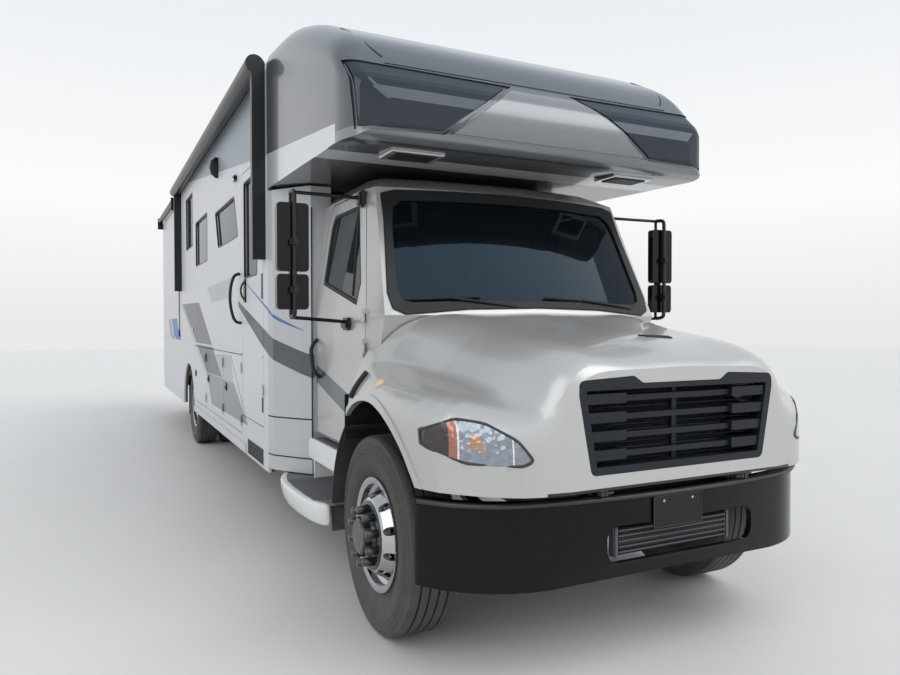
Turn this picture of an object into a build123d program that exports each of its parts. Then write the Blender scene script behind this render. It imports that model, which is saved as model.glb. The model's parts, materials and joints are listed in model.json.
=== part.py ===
from build123d import *
import math
import os

# A motorhome on a conventional truck chassis, in millimetres.
# +Z is up from the floor, -Y is the front and +X is the driver's side.
# Places along the vehicle are given as stations: distances behind the front axle.

# Overall sizes
WHEELBASE = 7010
NOSE_LEAD = 1065
REAR_OVERHANG = 3950
HITCH_REACH = 95
COACH_WIDTH = 2565
WALL_TOP = 3600
ROOF_RISE = 200
SKIRT_BOTTOM = 510
REAR_LOW = 650
COACH_START = 1950

# Clearances between pieces
SEAT_GAP = 0.3
DOOR_GAP = 8
BEARING_GAP = 0.05

# Tyres, wheels and axles
TYRE_R = 525
TYRE_WIDTH = 279
BEAD_R = 286
RIM_HALF = 120
FRONT_TRACK_HALF = 1025.5
DISC_OFFSET = 150
DISC_THICK = 22
TWIN_PLANE = 915
TWIN_OFFSET = 165
KINGPIN_X = 850
KINGPIN_R = 22
SPINDLE_R = 40
REAR_SPINDLE_R = 45
STEER_ARM = 180

# Frame
FRAME_HALF = 432
RAIL_TOP = 1000
RAIL_DEPTH = 260
RAIL_FLANGE = 85
RAIL_WEB = 10
RAIL_START = -900

# Cab
CAB_BACK = 1700
CAB_WALL = 45
CAB_UNDER = 1010
CAB_FLOOR_HALF = 700
WALK_HALF = 450
WALK_TOP = 2420
GLASS_DEPTH = 12
GLASS_THICK = 7

# Coach
WALL = 50
REAR_CAP = 120
FLOOR_TOP = 1450
FLOOR_THICK = 50
GLASS_INSET = 20
DOOR_THICK = 44

OVERALL = NOSE_LEAD + WHEELBASE + REAR_OVERHANG + HITCH_REACH
FRONT_AXLE = NOSE_LEAD - OVERALL / 2
REAR_STATION = WHEELBASE + REAR_OVERHANG
SIDE = COACH_WIDTH / 2
ROOF_CROWN = WALL_TOP + ROOF_RISE
SIDES = (("right", -1), ("left", 1))


def at(station):
    """The Y of a station, a distance behind the front axle."""
    return FRONT_AXLE + station


def block(x, s, z):
    """A box from its low and high X, station and Z."""
    centre = Pos((x[0] + x[1]) / 2, at((s[0] + s[1]) / 2), (z[0] + z[1]) / 2)
    return centre * Box(x[1] - x[0], s[1] - s[0], z[1] - z[0])


def side_prism(outline, x):
    """A side outline of (station, Z) points, extruded from x[0] to x[1]."""
    face = make_face(Polyline(*[(at(s), z) for s, z in outline], close=True))
    return extrude(Plane.YZ.offset(x[0]) * face, amount=x[1] - x[0])


def front_prism(outline, s):
    """A front outline of (X, Z) points, extruded from station s[0] to s[1]."""
    face = make_face(Polyline(*outline, close=True))
    return extrude(Plane.XZ.offset(-at(s[0])) * face, amount=s[0] - s[1])


def plan_prism(outline, z):
    """A plan outline of (X, station) points, extruded from z[0] to z[1]."""
    face = make_face(Polyline(*[(x, at(s)) for x, s in outline], close=True))
    return extrude(Pos(0, 0, z[0]) * face, amount=z[1] - z[0])


def round_x(radius, x, s, z):
    """A cylinder along X."""
    return Pos((x[0] + x[1]) / 2, at(s), z) * Rot(0, 90, 0) * Cylinder(radius, x[1] - x[0])


def round_y(radius, x, s, z):
    """A cylinder along Y."""
    return Pos(x, at((s[0] + s[1]) / 2), z) * Rot(90, 0, 0) * Cylinder(radius, s[1] - s[0])


def round_z(radius, x, s, z):
    """An upright cylinder."""
    return Pos(x, at(s), (z[0] + z[1]) / 2) * Cylinder(radius, z[1] - z[0])


def other_side(shape):
    return mirror(shape, about=Plane.YZ)


def for_side(shape, sign):
    """A shape drawn on the driver's side, placed on the side that sign gives."""
    return shape if sign > 0 else other_side(shape)


def spun(outline):
    """A wheel section of (X, radius) points turned about the X axis."""
    return revolve(make_face(Polyline(*outline, close=True)), Axis.X, 360)


def rod(start, end, radius):
    """A straight round bar between two (X, station, Z) points."""
    a = Vector(start[0], at(start[1]), start[2])
    b = Vector(end[0], at(end[1]), end[2])
    return Plane(origin=a, z_dir=b - a) * Cylinder(
        radius, (b - a).length, align=(Align.CENTER, Align.CENTER, Align.MIN))


parts = {}


# Tyres and wheels

def tyre():
    """A 22.5 inch truck tyre about the X axis."""
    half = TYRE_WIDTH / 2
    bead, shoulder, tread = half * 0.75, half * 0.88, half * 0.74
    bulge_r = (BEAD_R + TYRE_R) / 2 - 15
    rows = []
    for side in (-1, 1):
        rows.append(Line((side * bead, BEAD_R), (side * bead, BEAD_R + 20)))
        rows.append(ThreePointArc((side * bead, BEAD_R + 20), (side * half, bulge_r), (side * shoulder, TYRE_R - 28)))
        rows.append(Line((side * shoulder, TYRE_R - 28), (side * tread, TYRE_R)))
    rows.append(Line((-tread, TYRE_R), (tread, TYRE_R)))
    rows.append(Line((-bead, BEAD_R), (bead, BEAD_R)))
    return revolve(make_face(rows), Axis.X, 360)


def rim():
    """A drop-centre rim about the X axis."""
    seat = BEAD_R - SEAT_GAP
    lip = TYRE_WIDTH / 2 * 0.75 + SEAT_GAP
    half = [(0, seat - 24), (60, seat - 24), (72, seat), (lip, seat), (lip, seat + 16), (RIM_HALF, seat + 16),
            (RIM_HALF, seat + 6), (RIM_HALF - 6, seat - 18), (78, seat - 18), (66, seat - 40), (0, seat - 40)]
    left = [(-x, r) for x, r in reversed(half) if x > 0]
    return spun(half + left)


def disc(offset):
    """A dished wheel disc with hand holes, its mounting face at x = offset."""
    well = BEAD_R - 36
    back = offset - DISC_THICK
    body = spun([(30, well), (52, well), (offset - 10, 196), (offset, 184), (offset, 106),
                 (back, 106), (back, 176), (back - 8, 184), (30, well - 18)])
    hole_count = 10
    for i in range(hole_count):
        turn = Rot(360 / hole_count * i, 0, 0)
        body -= turn * Pos(offset / 2 + 20, 0, 214) * Rot(0, 90, 0) * Cylinder(22, offset + 60)
    return body


def front_wheel():
    """Rim, dished disc and hub of a steered wheel, outboard side at +X."""
    hub_end = DISC_OFFSET + 62
    hub = spun([(-70, SPINDLE_R + BEARING_GAP), (-70, 92), (88, 92), (108, 165), (DISC_OFFSET - DISC_THICK, 165),
                (DISC_OFFSET - DISC_THICK, 106), (DISC_OFFSET + 12, 106), (DISC_OFFSET + 14, 84),
                (hub_end - 8, 72), (hub_end, 60), (hub_end, 0), (62, 0), (62, SPINDLE_R + BEARING_GAP)])
    return rim() + disc(DISC_OFFSET) + hub


def twin_wheels():
    """Both rims of a driven twin wheel with hub and drum, about the X axis at their real X."""
    outer_x, inner_x = TWIN_PLANE + TWIN_OFFSET, TWIN_PLANE - TWIN_OFFSET
    single = rim() + disc(TWIN_OFFSET)
    bore = REAR_SPINDLE_R + BEARING_GAP
    hub = spun([(640, bore), (640, 205), (860, 205), (860, 165), (TWIN_PLANE - DISC_THICK, 165),
                (TWIN_PLANE - DISC_THICK, 106), (TWIN_PLANE + DISC_THICK + 6, 106), (TWIN_PLANE + 40, 96),
                (TWIN_PLANE + 110, 92), (TWIN_PLANE + 118, 80), (TWIN_PLANE + 118, 0), (1000, 0), (1000, bore)])
    return Pos(outer_x, 0, 0) * Rot(0, 180, 0) * single + Pos(inner_x, 0, 0) * single + hub


def add_wheels():
    one_tyre, steered, twin = tyre(), front_wheel(), twin_wheels()
    for name, sign in SIDES:
        front = Pos(0, at(0), TYRE_R)
        rear = Pos(0, at(WHEELBASE), TYRE_R)
        parts["front_wheel_" + name] = front * for_side(Pos(FRONT_TRACK_HALF, 0, 0) * steered, sign)
        parts["front_tyre_" + name] = front * for_side(Pos(FRONT_TRACK_HALF, 0, 0) * one_tyre, sign)
        parts["rear_wheels_" + name] = rear * for_side(twin, sign)
        pair = [Pos(TWIN_PLANE + k * TWIN_OFFSET, 0, 0) * one_tyre for k in (-1, 1)]
        parts["rear_tyres_" + name] = rear * for_side(Compound(children=pair), sign)


# Axles, steering and springs

EYE_HALF = 55
EYE_R = 48


def front_axle():
    """A dropped beam with an eye for each kingpin."""
    top = [(-KINGPIN_X, TYRE_R + 45), (-KINGPIN_X + 130, TYRE_R + 35), (-560, 480), (560, 480),
           (KINGPIN_X - 130, TYRE_R + 35), (KINGPIN_X, TYRE_R + 45)]
    low = [(KINGPIN_X, TYRE_R - 45), (KINGPIN_X - 160, TYRE_R - 55), (540, 380), (-540, 380),
           (-KINGPIN_X + 160, TYRE_R - 55), (-KINGPIN_X, TYRE_R - 45)]
    beam = front_prism(top + low, (-42, 42))
    for _, sign in SIDES:
        x = sign * KINGPIN_X
        beam += round_z(EYE_R, x, 0, (TYRE_R - EYE_HALF, TYRE_R + EYE_HALF))
        beam -= round_z(KINGPIN_R + BEARING_GAP, x, 0, (TYRE_R - 100, TYRE_R + 100))
    return beam


def knuckle():
    """A steering knuckle on the driver's side: yoke, kingpin, spindle and steering arm."""
    gap, arm = 6, 40
    low = (TYRE_R - EYE_HALF - gap - arm, TYRE_R - EYE_HALF - gap)
    high = (TYRE_R + EYE_HALF + gap, TYRE_R + EYE_HALF + gap + arm)
    plate = (KINGPIN_X + 62, KINGPIN_X + 90)
    body = block(plate, (-60, 60), (low[0], high[1]))
    for z in (low, high):
        body += block((KINGPIN_X, plate[1]), (-48, 48), z) + round_z(48, KINGPIN_X, 0, z)
    body += round_z(KINGPIN_R, KINGPIN_X, 0, (low[0], high[1]))
    body += round_x(SPINDLE_R, (plate[1], FRONT_TRACK_HALF + 60), 0, TYRE_R)
    body += block((KINGPIN_X - 22, KINGPIN_X + 22), (40, STEER_ARM), (low[0], low[0] + 26))
    body += round_z(26, KINGPIN_X, STEER_ARM, (low[0], low[0] + 26))
    return body - round_z(12 + BEARING_GAP, KINGPIN_X, STEER_ARM, (low[0] - 5, low[0] + 31))


def tie_rod():
    """The bar that joins both steering arms below their ends."""
    arm_low = TYRE_R - EYE_HALF - 46
    z = arm_low - 34
    bar = round_x(16, (-KINGPIN_X, KINGPIN_X), STEER_ARM, z)
    for _, sign in SIDES:
        x = sign * KINGPIN_X
        bar += round_z(24, x, STEER_ARM, (z - 22, arm_low - 6))
        bar += round_z(12, x, STEER_ARM, (z, arm_low + 26))
    return bar


def leaf_spring(centre, half_length, low, rise):
    """One leaf pack under a rail with a hanger at each end, on the driver's side."""
    x = (FRAME_HALF - RAIL_FLANGE + 5, FRAME_HALF - 5)
    thick = 42
    rail_low = RAIL_TOP - RAIL_DEPTH
    steps = [(-half_length, rise), (-half_length / 2, rise * 0.3), (0, 0), (half_length / 2, rise * 0.3),
             (half_length, rise)]
    outline = [(centre + s, low + z) for s, z in steps]
    outline += [(centre + s, low + thick + z) for s, z in reversed(steps)]
    spring = side_prism(outline, x)
    for end in (-1, 1):
        s = centre + end * (half_length - 30)
        spring += block(x, (s - 28, s + 28), (low + rise * 0.8, rail_low))
    return spring


def rear_axle():
    """Drive axle: banjo housing, tubes and spindles."""
    s = WHEELBASE
    housing = round_y(190, 0, (s - 150, s + 110), TYRE_R) + round_x(66, (-600, 600), s, TYRE_R)
    housing += round_x(REAR_SPINDLE_R, (-990, 990), s, TYRE_R) + round_y(70, 0, (s - 260, s - 100), TYRE_R)
    return housing


def add_axles():
    parts["front_axle"] = front_axle()
    arm = knuckle()
    for name, sign in SIDES:
        parts["knuckle_" + name] = for_side(arm, sign)
    parts["tie_rod"] = tie_rod()
    parts["rear_axle"] = rear_axle()
    packs = []
    for centre, half_length, low, rise in ((0, 620, 480, 170), (WHEELBASE, 700, TYRE_R + 66, 80)):
        spring = leaf_spring(centre, half_length, low, rise)
        packs += [spring, other_side(spring)]
    parts["springs"] = Compound(children=packs)


# Frame and driveline

HOOD_PIVOT = (-1030, 886)
HOOD_PIN_R = 9


def frame_rails():
    """Two channel rails, each with a hood hinge bracket and its pin at the front."""
    end = REAR_STATION - 60
    low = RAIL_TOP - RAIL_DEPTH
    outer = block((FRAME_HALF - RAIL_FLANGE, FRAME_HALF), (RAIL_START, end), (low, RAIL_TOP))
    hollow = block((FRAME_HALF - RAIL_FLANGE - 1, FRAME_HALF - RAIL_WEB), (RAIL_START - 1, end + 1),
                   (low + RAIL_WEB, RAIL_TOP - RAIL_WEB))
    rail = outer - hollow
    s, z = HOOD_PIVOT
    web = (FRAME_HALF - RAIL_WEB, FRAME_HALF)
    bracket = side_prism([(RAIL_START, 880), (RAIL_START, 980), (-945, 980), (-962, z + 12), (s - 12, z + 12),
                          (s - 12, z - 12), (-945, z - 12)], web)
    rail += bracket + round_x(HOOD_PIN_R, (FRAME_HALF - 45, FRAME_HALF + 35), s, z)
    return Compound(children=[rail, other_side(rail)])


def crossmembers():
    """Box members between the rail webs."""
    x = FRAME_HALF - RAIL_WEB
    low = RAIL_TOP - RAIL_DEPTH + RAIL_WEB
    rows = [(-860, 80, 70), (1500, 80, 180), (2600, 80, 180), (3900, 80, 180), (5200, 80, 180), (6250, 80, 180),
            (7800, 80, 180), (9000, 80, 180), (10200, 80, 180), (REAR_STATION - 120, 80, 200)]
    bars = []
    for station, length, depth in rows:
        z = (low, low + depth) if depth < 100 else (RAIL_TOP - RAIL_WEB - depth, RAIL_TOP - RAIL_WEB)
        bars.append(block((-x, x), (station - length / 2, station + length / 2), z))
    return Compound(children=bars)


def powertrain():
    """Engine and gearbox as plain blocks, with the shaft to the rear axle."""
    engine = block((-320, 320), (-720, 200), (610, 1400))
    gearbox = block((-200, 200), (200, 1320), (590, 960))
    shaft = rod((0, 1300, 700), (0, WHEELBASE - 262, TYRE_R), 50)
    return engine + gearbox + shaft


def radiator():
    low = RAIL_TOP - RAIL_DEPTH + RAIL_WEB + 70
    return block((-330, 330), (-890, -810), (low, RAIL_TOP + 1)) + block((-460, 460), (-890, -800), (RAIL_TOP, 1420))


def fuel_tank():
    tank = block((470, 1120), (2300, 3400), (560, 1010))
    return fillet(tank.edges().filter_by(Axis.Y), 60) + block((FRAME_HALF, 480), (2500, 3200), (800, 980))


def exhaust():
    """Silencer hung from the passenger rail, with its outlet ahead of the storage boxes."""
    x, z = -580, 690
    canister = round_y(118, x, (1980, 2860), z) + block((-500, -FRAME_HALF), (2100, 2800), (745, 790))
    return canister + rod((x, 2840, z), (x, 2960, 610), 50)


# Front bumper, hood, grille and headlamps

BUMPER_TOP = 868
BUMPER_LOW = 470
LIP = 8
PLATE_PITCH = 178
PLATE_HOLE_R = 3.5
PLATE_Z = 815


def bumper_plan(inset):
    """The bumper's outer plan curve as edges, pulled in by inset."""
    nose, mid, corner, end = (0, -1030), (760, -965), (1060, -815), (1190, -640)
    pts = [(x - (inset if x else 0), s + inset) for x, s in (nose, mid, corner, end)]
    (x0, s0), (x1, s1), (x2, s2), (x3, s3) = pts
    return [ThreePointArc((-x1, at(s1)), (x0, at(s0)), (x1, at(s1))),
            ThreePointArc((x1, at(s1)), (x2, at(s2)), (x3, at(s3))),
            ThreePointArc((-x1, at(s1)), (-x2, at(s2)), (-x3, at(s3)))]


def front_bumper():
    """A deep wrap-round bumper with an undercut face and a lower cooling opening."""
    def slab(inset, back, z):
        curve = bumper_plan(inset)
        ends = [curve[1] @ 1, curve[2] @ 1]
        rear = [(ends[0].X, at(back)), (ends[1].X, at(back))]
        close = Polyline((ends[0].X, ends[0].Y), rear[0], rear[1], (ends[1].X, ends[1].Y))
        return extrude(Pos(0, 0, z[0]) * make_face(curve + [close]), amount=z[1] - z[0])
    def undercut(back):
        return side_prism([(-1100, BUMPER_LOW - 2), (-975 + back, BUMPER_LOW - 2), (-1031 + back, 590), (-1100, 590)],
                          (-1300, 1300))
    shell = slab(0, -635, (BUMPER_LOW, BUMPER_TOP)) - undercut(0)
    shell -= slab(28, -600, (BUMPER_LOW - 1, BUMPER_TOP + 1)) - undercut(28)
    shell += slab(-LIP, -635, (BUMPER_TOP - 32, BUMPER_TOP)) - slab(10, -600, (BUMPER_TOP - 33, BUMPER_TOP + 1))
    shell -= rounded(block((-400, 535), (-1100, -900), (550, 722)), 62)
    for x in (-PLATE_PITCH / 2, PLATE_PITCH / 2):
        shell -= round_y(PLATE_HOLE_R, x, (-1100, -950), PLATE_Z)
    for _, sign in SIDES:
        arm = block((FRAME_HALF, FRAME_HALF + 14), (-1000, RAIL_START + 60), (760, 850))
        shell += for_side(arm, sign)
    return shell


# Hood sections: station, then (X, Z) of side, mid side, shoulder, fender top, valley, flank, bonnet edge and
# top, and the crown's Z on the middle line
HOOD_SECTIONS = (
    (-1065, (640, 1010), (640, 1080), (639, 1150), (636, 1215), (630, 1275), (612, 1340), (560, 1405), (320, 1440),
     1447),
    (-1020, (850, 1020), (846, 1090), (828, 1155), (785, 1205), (728, 1262), (690, 1350), (612, 1445), (345, 1480),
     1487),
    (-880, (1030, 1040), (1030, 1130), (1005, 1210), (920, 1262), (800, 1290), (728, 1395), (640, 1500), (355, 1535),
     1542),
    (-680, (1165, 1050), (1163, 1160), (1132, 1255), (1020, 1320), (870, 1335), (770, 1440), (662, 1540), (365, 1580),
     1588),
    (-300, (1200, 1050), (1198, 1170), (1165, 1290), (1060, 1362), (930, 1385), (822, 1485), (700, 1590), (380, 1632),
     1640),
    (120, (1200, 1050), (1190, 1180), (1155, 1300), (1085, 1392), (1010, 1455), (940, 1555), (820, 1658), (440, 1706),
     1715),
    (410, (1165, 1050), (1155, 1180), (1130, 1290), (1095, 1375), (1060, 1440), (1015, 1520), (915, 1640), (480, 1722),
     1740),
)
HOOD_SKIN = 25
HOOD_LOW = 905
ARCH_R = TYRE_R + 215
ARCH_Z = TYRE_R - 25
ARCH_LIP = 8
HOOD_STEPS = 3
HOOD_NOSE = 250


def smooth_rows(rows, steps):
    """The rows with others between them, so that every column follows a smooth curve."""
    made = []
    for i in range(len(rows) - 1):
        before, a, b, after = rows[max(i - 1, 0)], rows[i], rows[i + 1], rows[min(i + 2, len(rows) - 1)]
        for k in range(steps):
            t = k / steps
            weights = (-t / 2 + t * t - t ** 3 / 2, 1 - 2.5 * t * t + 1.5 * t ** 3, t / 2 + 2 * t * t - 1.5 * t ** 3,
                       (t ** 3 - t * t) / 2)
            made.append(tuple(sum(w * v for w, v in zip(weights, column)) for column in zip(before, a, b, after)))
    return made + [rows[-1]]


def hood_volume(inset, drop):
    """The hood's outer form pulled in by inset, its underside lowered by drop."""
    flat = [(station, *[value for point in points for value in point], crown)
            for station, *points, crown in HOOD_SECTIONS]
    rows = []
    for station, *values, crown in smooth_rows(flat, HOOD_STEPS):
        points = list(zip(values[::2], values[1::2]))
        half = [(x - inset, z - inset) for x, z in points]
        half.insert(0, (half[0][0], HOOD_LOW - drop))
        past_nose = (station - HOOD_SECTIONS[0][0]) / HOOD_NOSE
        place = at(station + inset * max(1 - past_nose, 0) + (5 if inset and station == HOOD_SECTIONS[-1][0] else 0))
        loop = half + [(0, crown - inset)] + [(-x, z) for x, z in reversed(half)]
        rows.append([Vector(x, place, z) for x, z in loop])
    steps = [[(b - a).length for a, b in zip(row, row[1:])] for row in rows]
    shares = [sum(row[i] / sum(row) for row in steps) / len(rows) for i in range(len(steps[0]))]
    places = [sum(shares[:i]) for i in range(len(shares))] + [1.0]
    ends = [Vector(0, 0, 1), Vector(0, 0, -1)]
    wires = [Wire([Edge.make_spline(row, tangents=ends, parameters=places), Edge.make_line(row[-1], row[0])])
             for row in rows]
    return Solid.make_loft(wires, ruled=True)


# Cab levels: Z, then half width and station of front centre, front corner, pillar and back
CAB_LEVELS = (
    (860, (0, 620), (960, 640), (1030, 700)),
    (950, (0, 600), (970, 620), (1030, 680)),
    (1250, (0, 330), (985, 420), (1030, 500)),
    (1700, (0, 130), (990, 240), (1030, 430)),
    (2500, (0, 500), (912, 600), (945, 780)),
    (2600, (0, 720), (780, 800), (830, 950)),
)


def cab_volume(inset, front=0):
    """The cab's outer form pulled in by inset, with its front moved forward by front."""
    faces = []
    for i, (z, centre, corner, pillar) in enumerate(CAB_LEVELS):
        level = z + (inset if i == 0 else 0) - (inset if i == len(CAB_LEVELS) - 1 else 0)
        cs, (cx, ks), (px, ps) = centre[1] + inset - front, corner, pillar
        ks, ps, cx, px = ks + inset - front, ps - front, cx - inset, px - inset
        back = CAB_BACK - inset
        arc = ThreePointArc((-cx, at(ks)), (0, at(cs)), (cx, at(ks)))
        rest = Polyline((cx, at(ks)), (px, at(ps)), (px, at(back)), (-px, at(back)), (-px, at(ps)), (-cx, at(ks)))
        faces.append(Pos(0, 0, level) * make_face([arc, rest]))
    return Solid.make_loft([f.face().outer_wire() for f in faces], ruled=True)


GRILLE_HALF = ((530, 975), (598, 1330), (598, 1398), (292, 1412), (240, 1378))


def mirrored_outline(half):
    """A closed outline from its +X half."""
    return list(half) + [(-x, z) for x, z in reversed(half)]


def grown(outline, by):
    """The closed outline with every side moved outwards by the given amount."""
    area = sum(a[0] * b[1] - b[0] * a[1] for a, b in zip(outline, outline[1:] + outline[:1]))
    turn = 1 if area > 0 else -1
    lines = []
    for a, b in zip(outline, outline[1:] + outline[:1]):
        dx, dz = b[0] - a[0], b[1] - a[1]
        length = math.hypot(dx, dz)
        nx, nz = turn * dz / length, -turn * dx / length
        lines.append((a[0] + nx * by, a[1] + nz * by, dx / length, dz / length))
    moved = []
    for (ax, az, ux, uz), (bx, bz, vx, vz) in zip(lines[-1:] + lines[:-1], lines):
        cross = ux * vz - uz * vx
        along = ((bx - ax) * vz - (bz - az) * vx) / cross
        moved.append((ax + ux * along, az + uz * along))
    return moved


HEADLAMP = ((800, 1062), (866, 1150), (975, 1222), (1075, 1238), (1172, 1180), (1172, 1100), (1050, 1040), (850, 1036))
GRILLE_CORNER = 34
LAMP_CORNER = 22


def rounded(prism, radius):
    """A prism along Y with its long edges rounded."""
    return fillet(prism.edges().filter_by(Axis.Y), radius)


def hood_parts():
    """Hood shell, grille and headlamps, all tilting forward together."""
    shell = hood_volume(0, 0) - hood_volume(HOOD_SKIN, 100)
    for _, sign in SIDES:
        shell -= for_side(round_x(ARCH_R, (560, 1300), 0, ARCH_Z), sign)
    inside = hood_volume(HOOD_SKIN / 2, 0)
    ring = round_x(ARCH_R + 22, (600, 1150), 0, ARCH_Z) - round_x(ARCH_R + 6, (590, 1160), 0, ARCH_Z)
    liner = ring & block((590, 1160), (-700, 340), (HOOD_LOW, 1400))
    arch = round_x(ARCH_R + 38, (900, 1300), 0, ARCH_Z) - round_x(ARCH_R, (890, 1310), 0, ARCH_Z)
    lip = (hood_volume(-ARCH_LIP, 0) - hood_volume(6, 100)) & arch
    for _, sign in SIDES:
        shell += for_side(liner, sign) & inside
        shell += for_side(lip, sign)
    shell -= cab_volume(-10, 6)
    grille_outline = mirrored_outline(GRILLE_HALF)
    shell -= rounded(front_prism(grown(grille_outline, SEAT_GAP), (-1100, -950)), GRILLE_CORNER)
    lamp_prism = rounded(front_prism(list(HEADLAMP), (-1100, -560)), LAMP_CORNER)
    cut_prism = rounded(front_prism(grown(list(HEADLAMP), SEAT_GAP), (-1100, -560)), LAMP_CORNER)
    lens = (hood_volume(0, 0) - hood_volume(40, 100)) & lamp_prism
    shell -= cut_prism
    shell -= other_side(cut_prism)
    s, z = HOOD_PIVOT
    for _, sign in SIDES:
        lug = block((FRAME_HALF + 6, FRAME_HALF + 30), (s - 13, s + 13), (z - 13, z + 60))
        lug -= round_x(HOOD_PIN_R + BEARING_GAP, (FRAME_HALF, FRAME_HALF + 40), s, z)
        shell += for_side(lug, sign)
    return shell, grille(grille_outline), Compound(children=[lens, other_side(lens)])


def grille(outline):
    """A framed grille of four deep slats whose ends step forward."""
    front, back = -1064, -990
    frame = rounded(front_prism(outline, (front, back)), GRILLE_CORNER)
    inner = mirrored_outline(((500, 1010), (556, 1320), (556, 1352)))
    body = frame - front_prism(inner, (front - 10, back + 10))
    slat_count, pitch, first = 4, 84, 1046
    for i in range(slat_count):
        z = first + pitch * i
        body += block((-545, 545), (front + 26, back), (z, z + 26)) & frame
        for _, sign in SIDES:
            thick = block((330, 548), (front + 8, back), (z - 8, z + 38)) & frame
            body += for_side(thick, sign)
    body += block((-14, 14), (back - 16, back), (980, 1370))
    return body


# Cab

DOOR_LIP = 15
DOOR_STEP = 12
CAB_MOUNTS = ((740, 840), (1540, 1640))
DOOR_OUTLINE = ((664, 872), (1500, 872), (1510, 1850), (1395, 2400), (1320, 2478), (700, 2478), (462, 1760),
                (462, 1450), (664, 1160))
DOOR_WINDOW = ((640, 1765), (1405, 1930), (1330, 2330), (1270, 2405), (760, 2405), (590, 1900))
WINDSHIELD = ((945, 1748), (868, 2455))
HINGE_X = 1046
HINGE_STATION = 452


def side_zone(depth):
    """Everything from a depth inside the cab's side outwards, on the driver's side."""
    inner = [(pillar[0] - depth, z) for z, _, _, pillar in CAB_LEVELS]
    far = CAB_LEVELS[0][3][0] + 200
    return front_prism(inner + [(far, CAB_LEVELS[-1][0]), (far, CAB_LEVELS[0][0])], (0, CAB_BACK))


def cab_parts():
    """The cab shell with its glass, and both doors with their glass."""
    under = block((-CAB_FLOOR_HALF, CAB_FLOOR_HALF), (0, CAB_BACK + 1), (800, CAB_UNDER))
    over = block((-CAB_FLOOR_HALF - CAB_WALL, CAB_FLOOR_HALF + CAB_WALL), (0, CAB_BACK + 1),
                 (800, CAB_UNDER + CAB_WALL))
    outer, inner = cab_volume(0) - under, cab_volume(CAB_WALL) - over
    skin = outer - inner
    pane = cab_volume(GLASS_DEPTH) - cab_volume(GLASS_DEPTH + GLASS_THICK)
    shield = mirrored_outline(WINDSHIELD)
    front = (-200, 1000)
    shell = skin - front_prism(shield, front)
    glass = pane & front_prism(grown(shield, -SEAT_GAP), front)
    opening = side_prism(grown(list(DOOR_OUTLINE), DOOR_GAP), (700, 1200)) & side_zone(CAB_WALL + DOOR_GAP)
    shell -= opening + other_side(opening)
    shell -= block((-WALK_HALF, WALK_HALF), (CAB_BACK - 200, CAB_BACK + 10), (CAB_UNDER + CAB_WALL, WALK_TOP))
    for span in CAB_MOUNTS:
        mount = block((FRAME_HALF - 70, FRAME_HALF - 10), span, (RAIL_TOP, CAB_UNDER + CAB_WALL / 2))
        shell += mount + other_side(mount)
    door = outer & side_zone(CAB_WALL) & side_prism(list(DOOR_OUTLINE), (700, 1200))
    edge = side_prism(list(DOOR_OUTLINE), (700, 1200)) - side_prism(grown(list(DOOR_OUTLINE), -DOOR_STEP), (690, 1210))
    door -= edge & cab_volume(DOOR_LIP)
    door -= side_prism(list(DOOR_WINDOW), (700, 1200))
    door_glass = pane & side_prism(grown(list(DOOR_WINDOW), -SEAT_GAP), (700, 1200))
    pin_r, barrel_r = 7, 13
    for z in (1480, 1660):
        door += (round_z(barrel_r, HINGE_X, HINGE_STATION, (z, z + 50))
                 + block((1032, HINGE_X), (HINGE_STATION, HINGE_STATION + 40), (z, z + 50))
                 + block((1020, 1032), (HINGE_STATION + 15, HINGE_STATION + 40), (z, z + 50)))
        door -= round_z(pin_r + BEARING_GAP, HINGE_X, HINGE_STATION, (z - 30, z + 80))
        post = round_z(pin_r, HINGE_X, HINGE_STATION, (z - 24, z + 74))
        for low in (z - 30, z + 56):
            post += block((990, HINGE_X + 10), (HINGE_STATION - 12, HINGE_STATION + 4), (low, low + 24))
        shell += post + other_side(post)
    return shell, glass, door, door_glass


def mirror_unit():
    """A tall mirror on a tubular bracket, on the driver's door."""
    tube_r, out_x, s = 11, 1420, 680
    high, low = 2440, 1690
    unit = rod((930, s + 30, high), (out_x, s, high), tube_r) + rod((out_x, s, low), (out_x, s, high), tube_r)
    unit += rod((1010, s + 90, low - 30), (out_x, s, low), tube_r)
    unit += Pos(out_x, at(s), high) * Sphere(tube_r) + Pos(out_x, at(s), low) * Sphere(tube_r)
    heads = ((1960, 2365, 70), (1735, 1945, 64))
    for z0, z1, depth in heads:
        head = block((out_x - 92, out_x + 98), (s - depth, s - depth / 4), (z0, z1))
        head = fillet(head.edges().filter_by(Axis.Y), 24)
        unit += head
    unit += block((out_x - 16, out_x + 16), (s - 40, s), (1860, 2300))
    return unit - cab_volume(-SEAT_GAP)


def dashboard():
    """Dash, steering column and wheel."""
    dash = side_prism([(100, 1420), (820, 1420), (860, 1560), (800, 1700), (640, 1736), (100, 1730)], (-930, 930))
    dash &= cab_volume(CAB_WALL)
    ring = Torus(215, 16) + Cylinder(45, 30) + Box(420, 34, 14) + Box(34, 420, 14)
    wheel = Pos(440, at(905), 1760) * Rot(-48, 0, 0) * ring
    return dash + rod((440, 780, 1640), (440, 900, 1755), 32) + wheel


def cab_seats():
    """Two seats on pedestals."""
    seats = []
    for x in (-500, 500):
        base = block((x - 180, x + 180), (1080, 1420), (CAB_UNDER + CAB_WALL, 1230))
        cushion = block((x - 245, x + 245), (1000, 1500), (1230, 1350))
        back = side_prism([(1420, 1320), (1530, 1300), (1620, 1980), (1530, 2000)], (x - 235, x + 235))
        rest = side_prism([(1532, 1990), (1622, 1975), (1640, 2200), (1560, 2210)], (x - 130, x + 130))
        seats.append(base + fillet(cushion.edges().filter_by(Axis.Y), 40) + back + rest)
    return Compound(children=seats)


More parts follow.
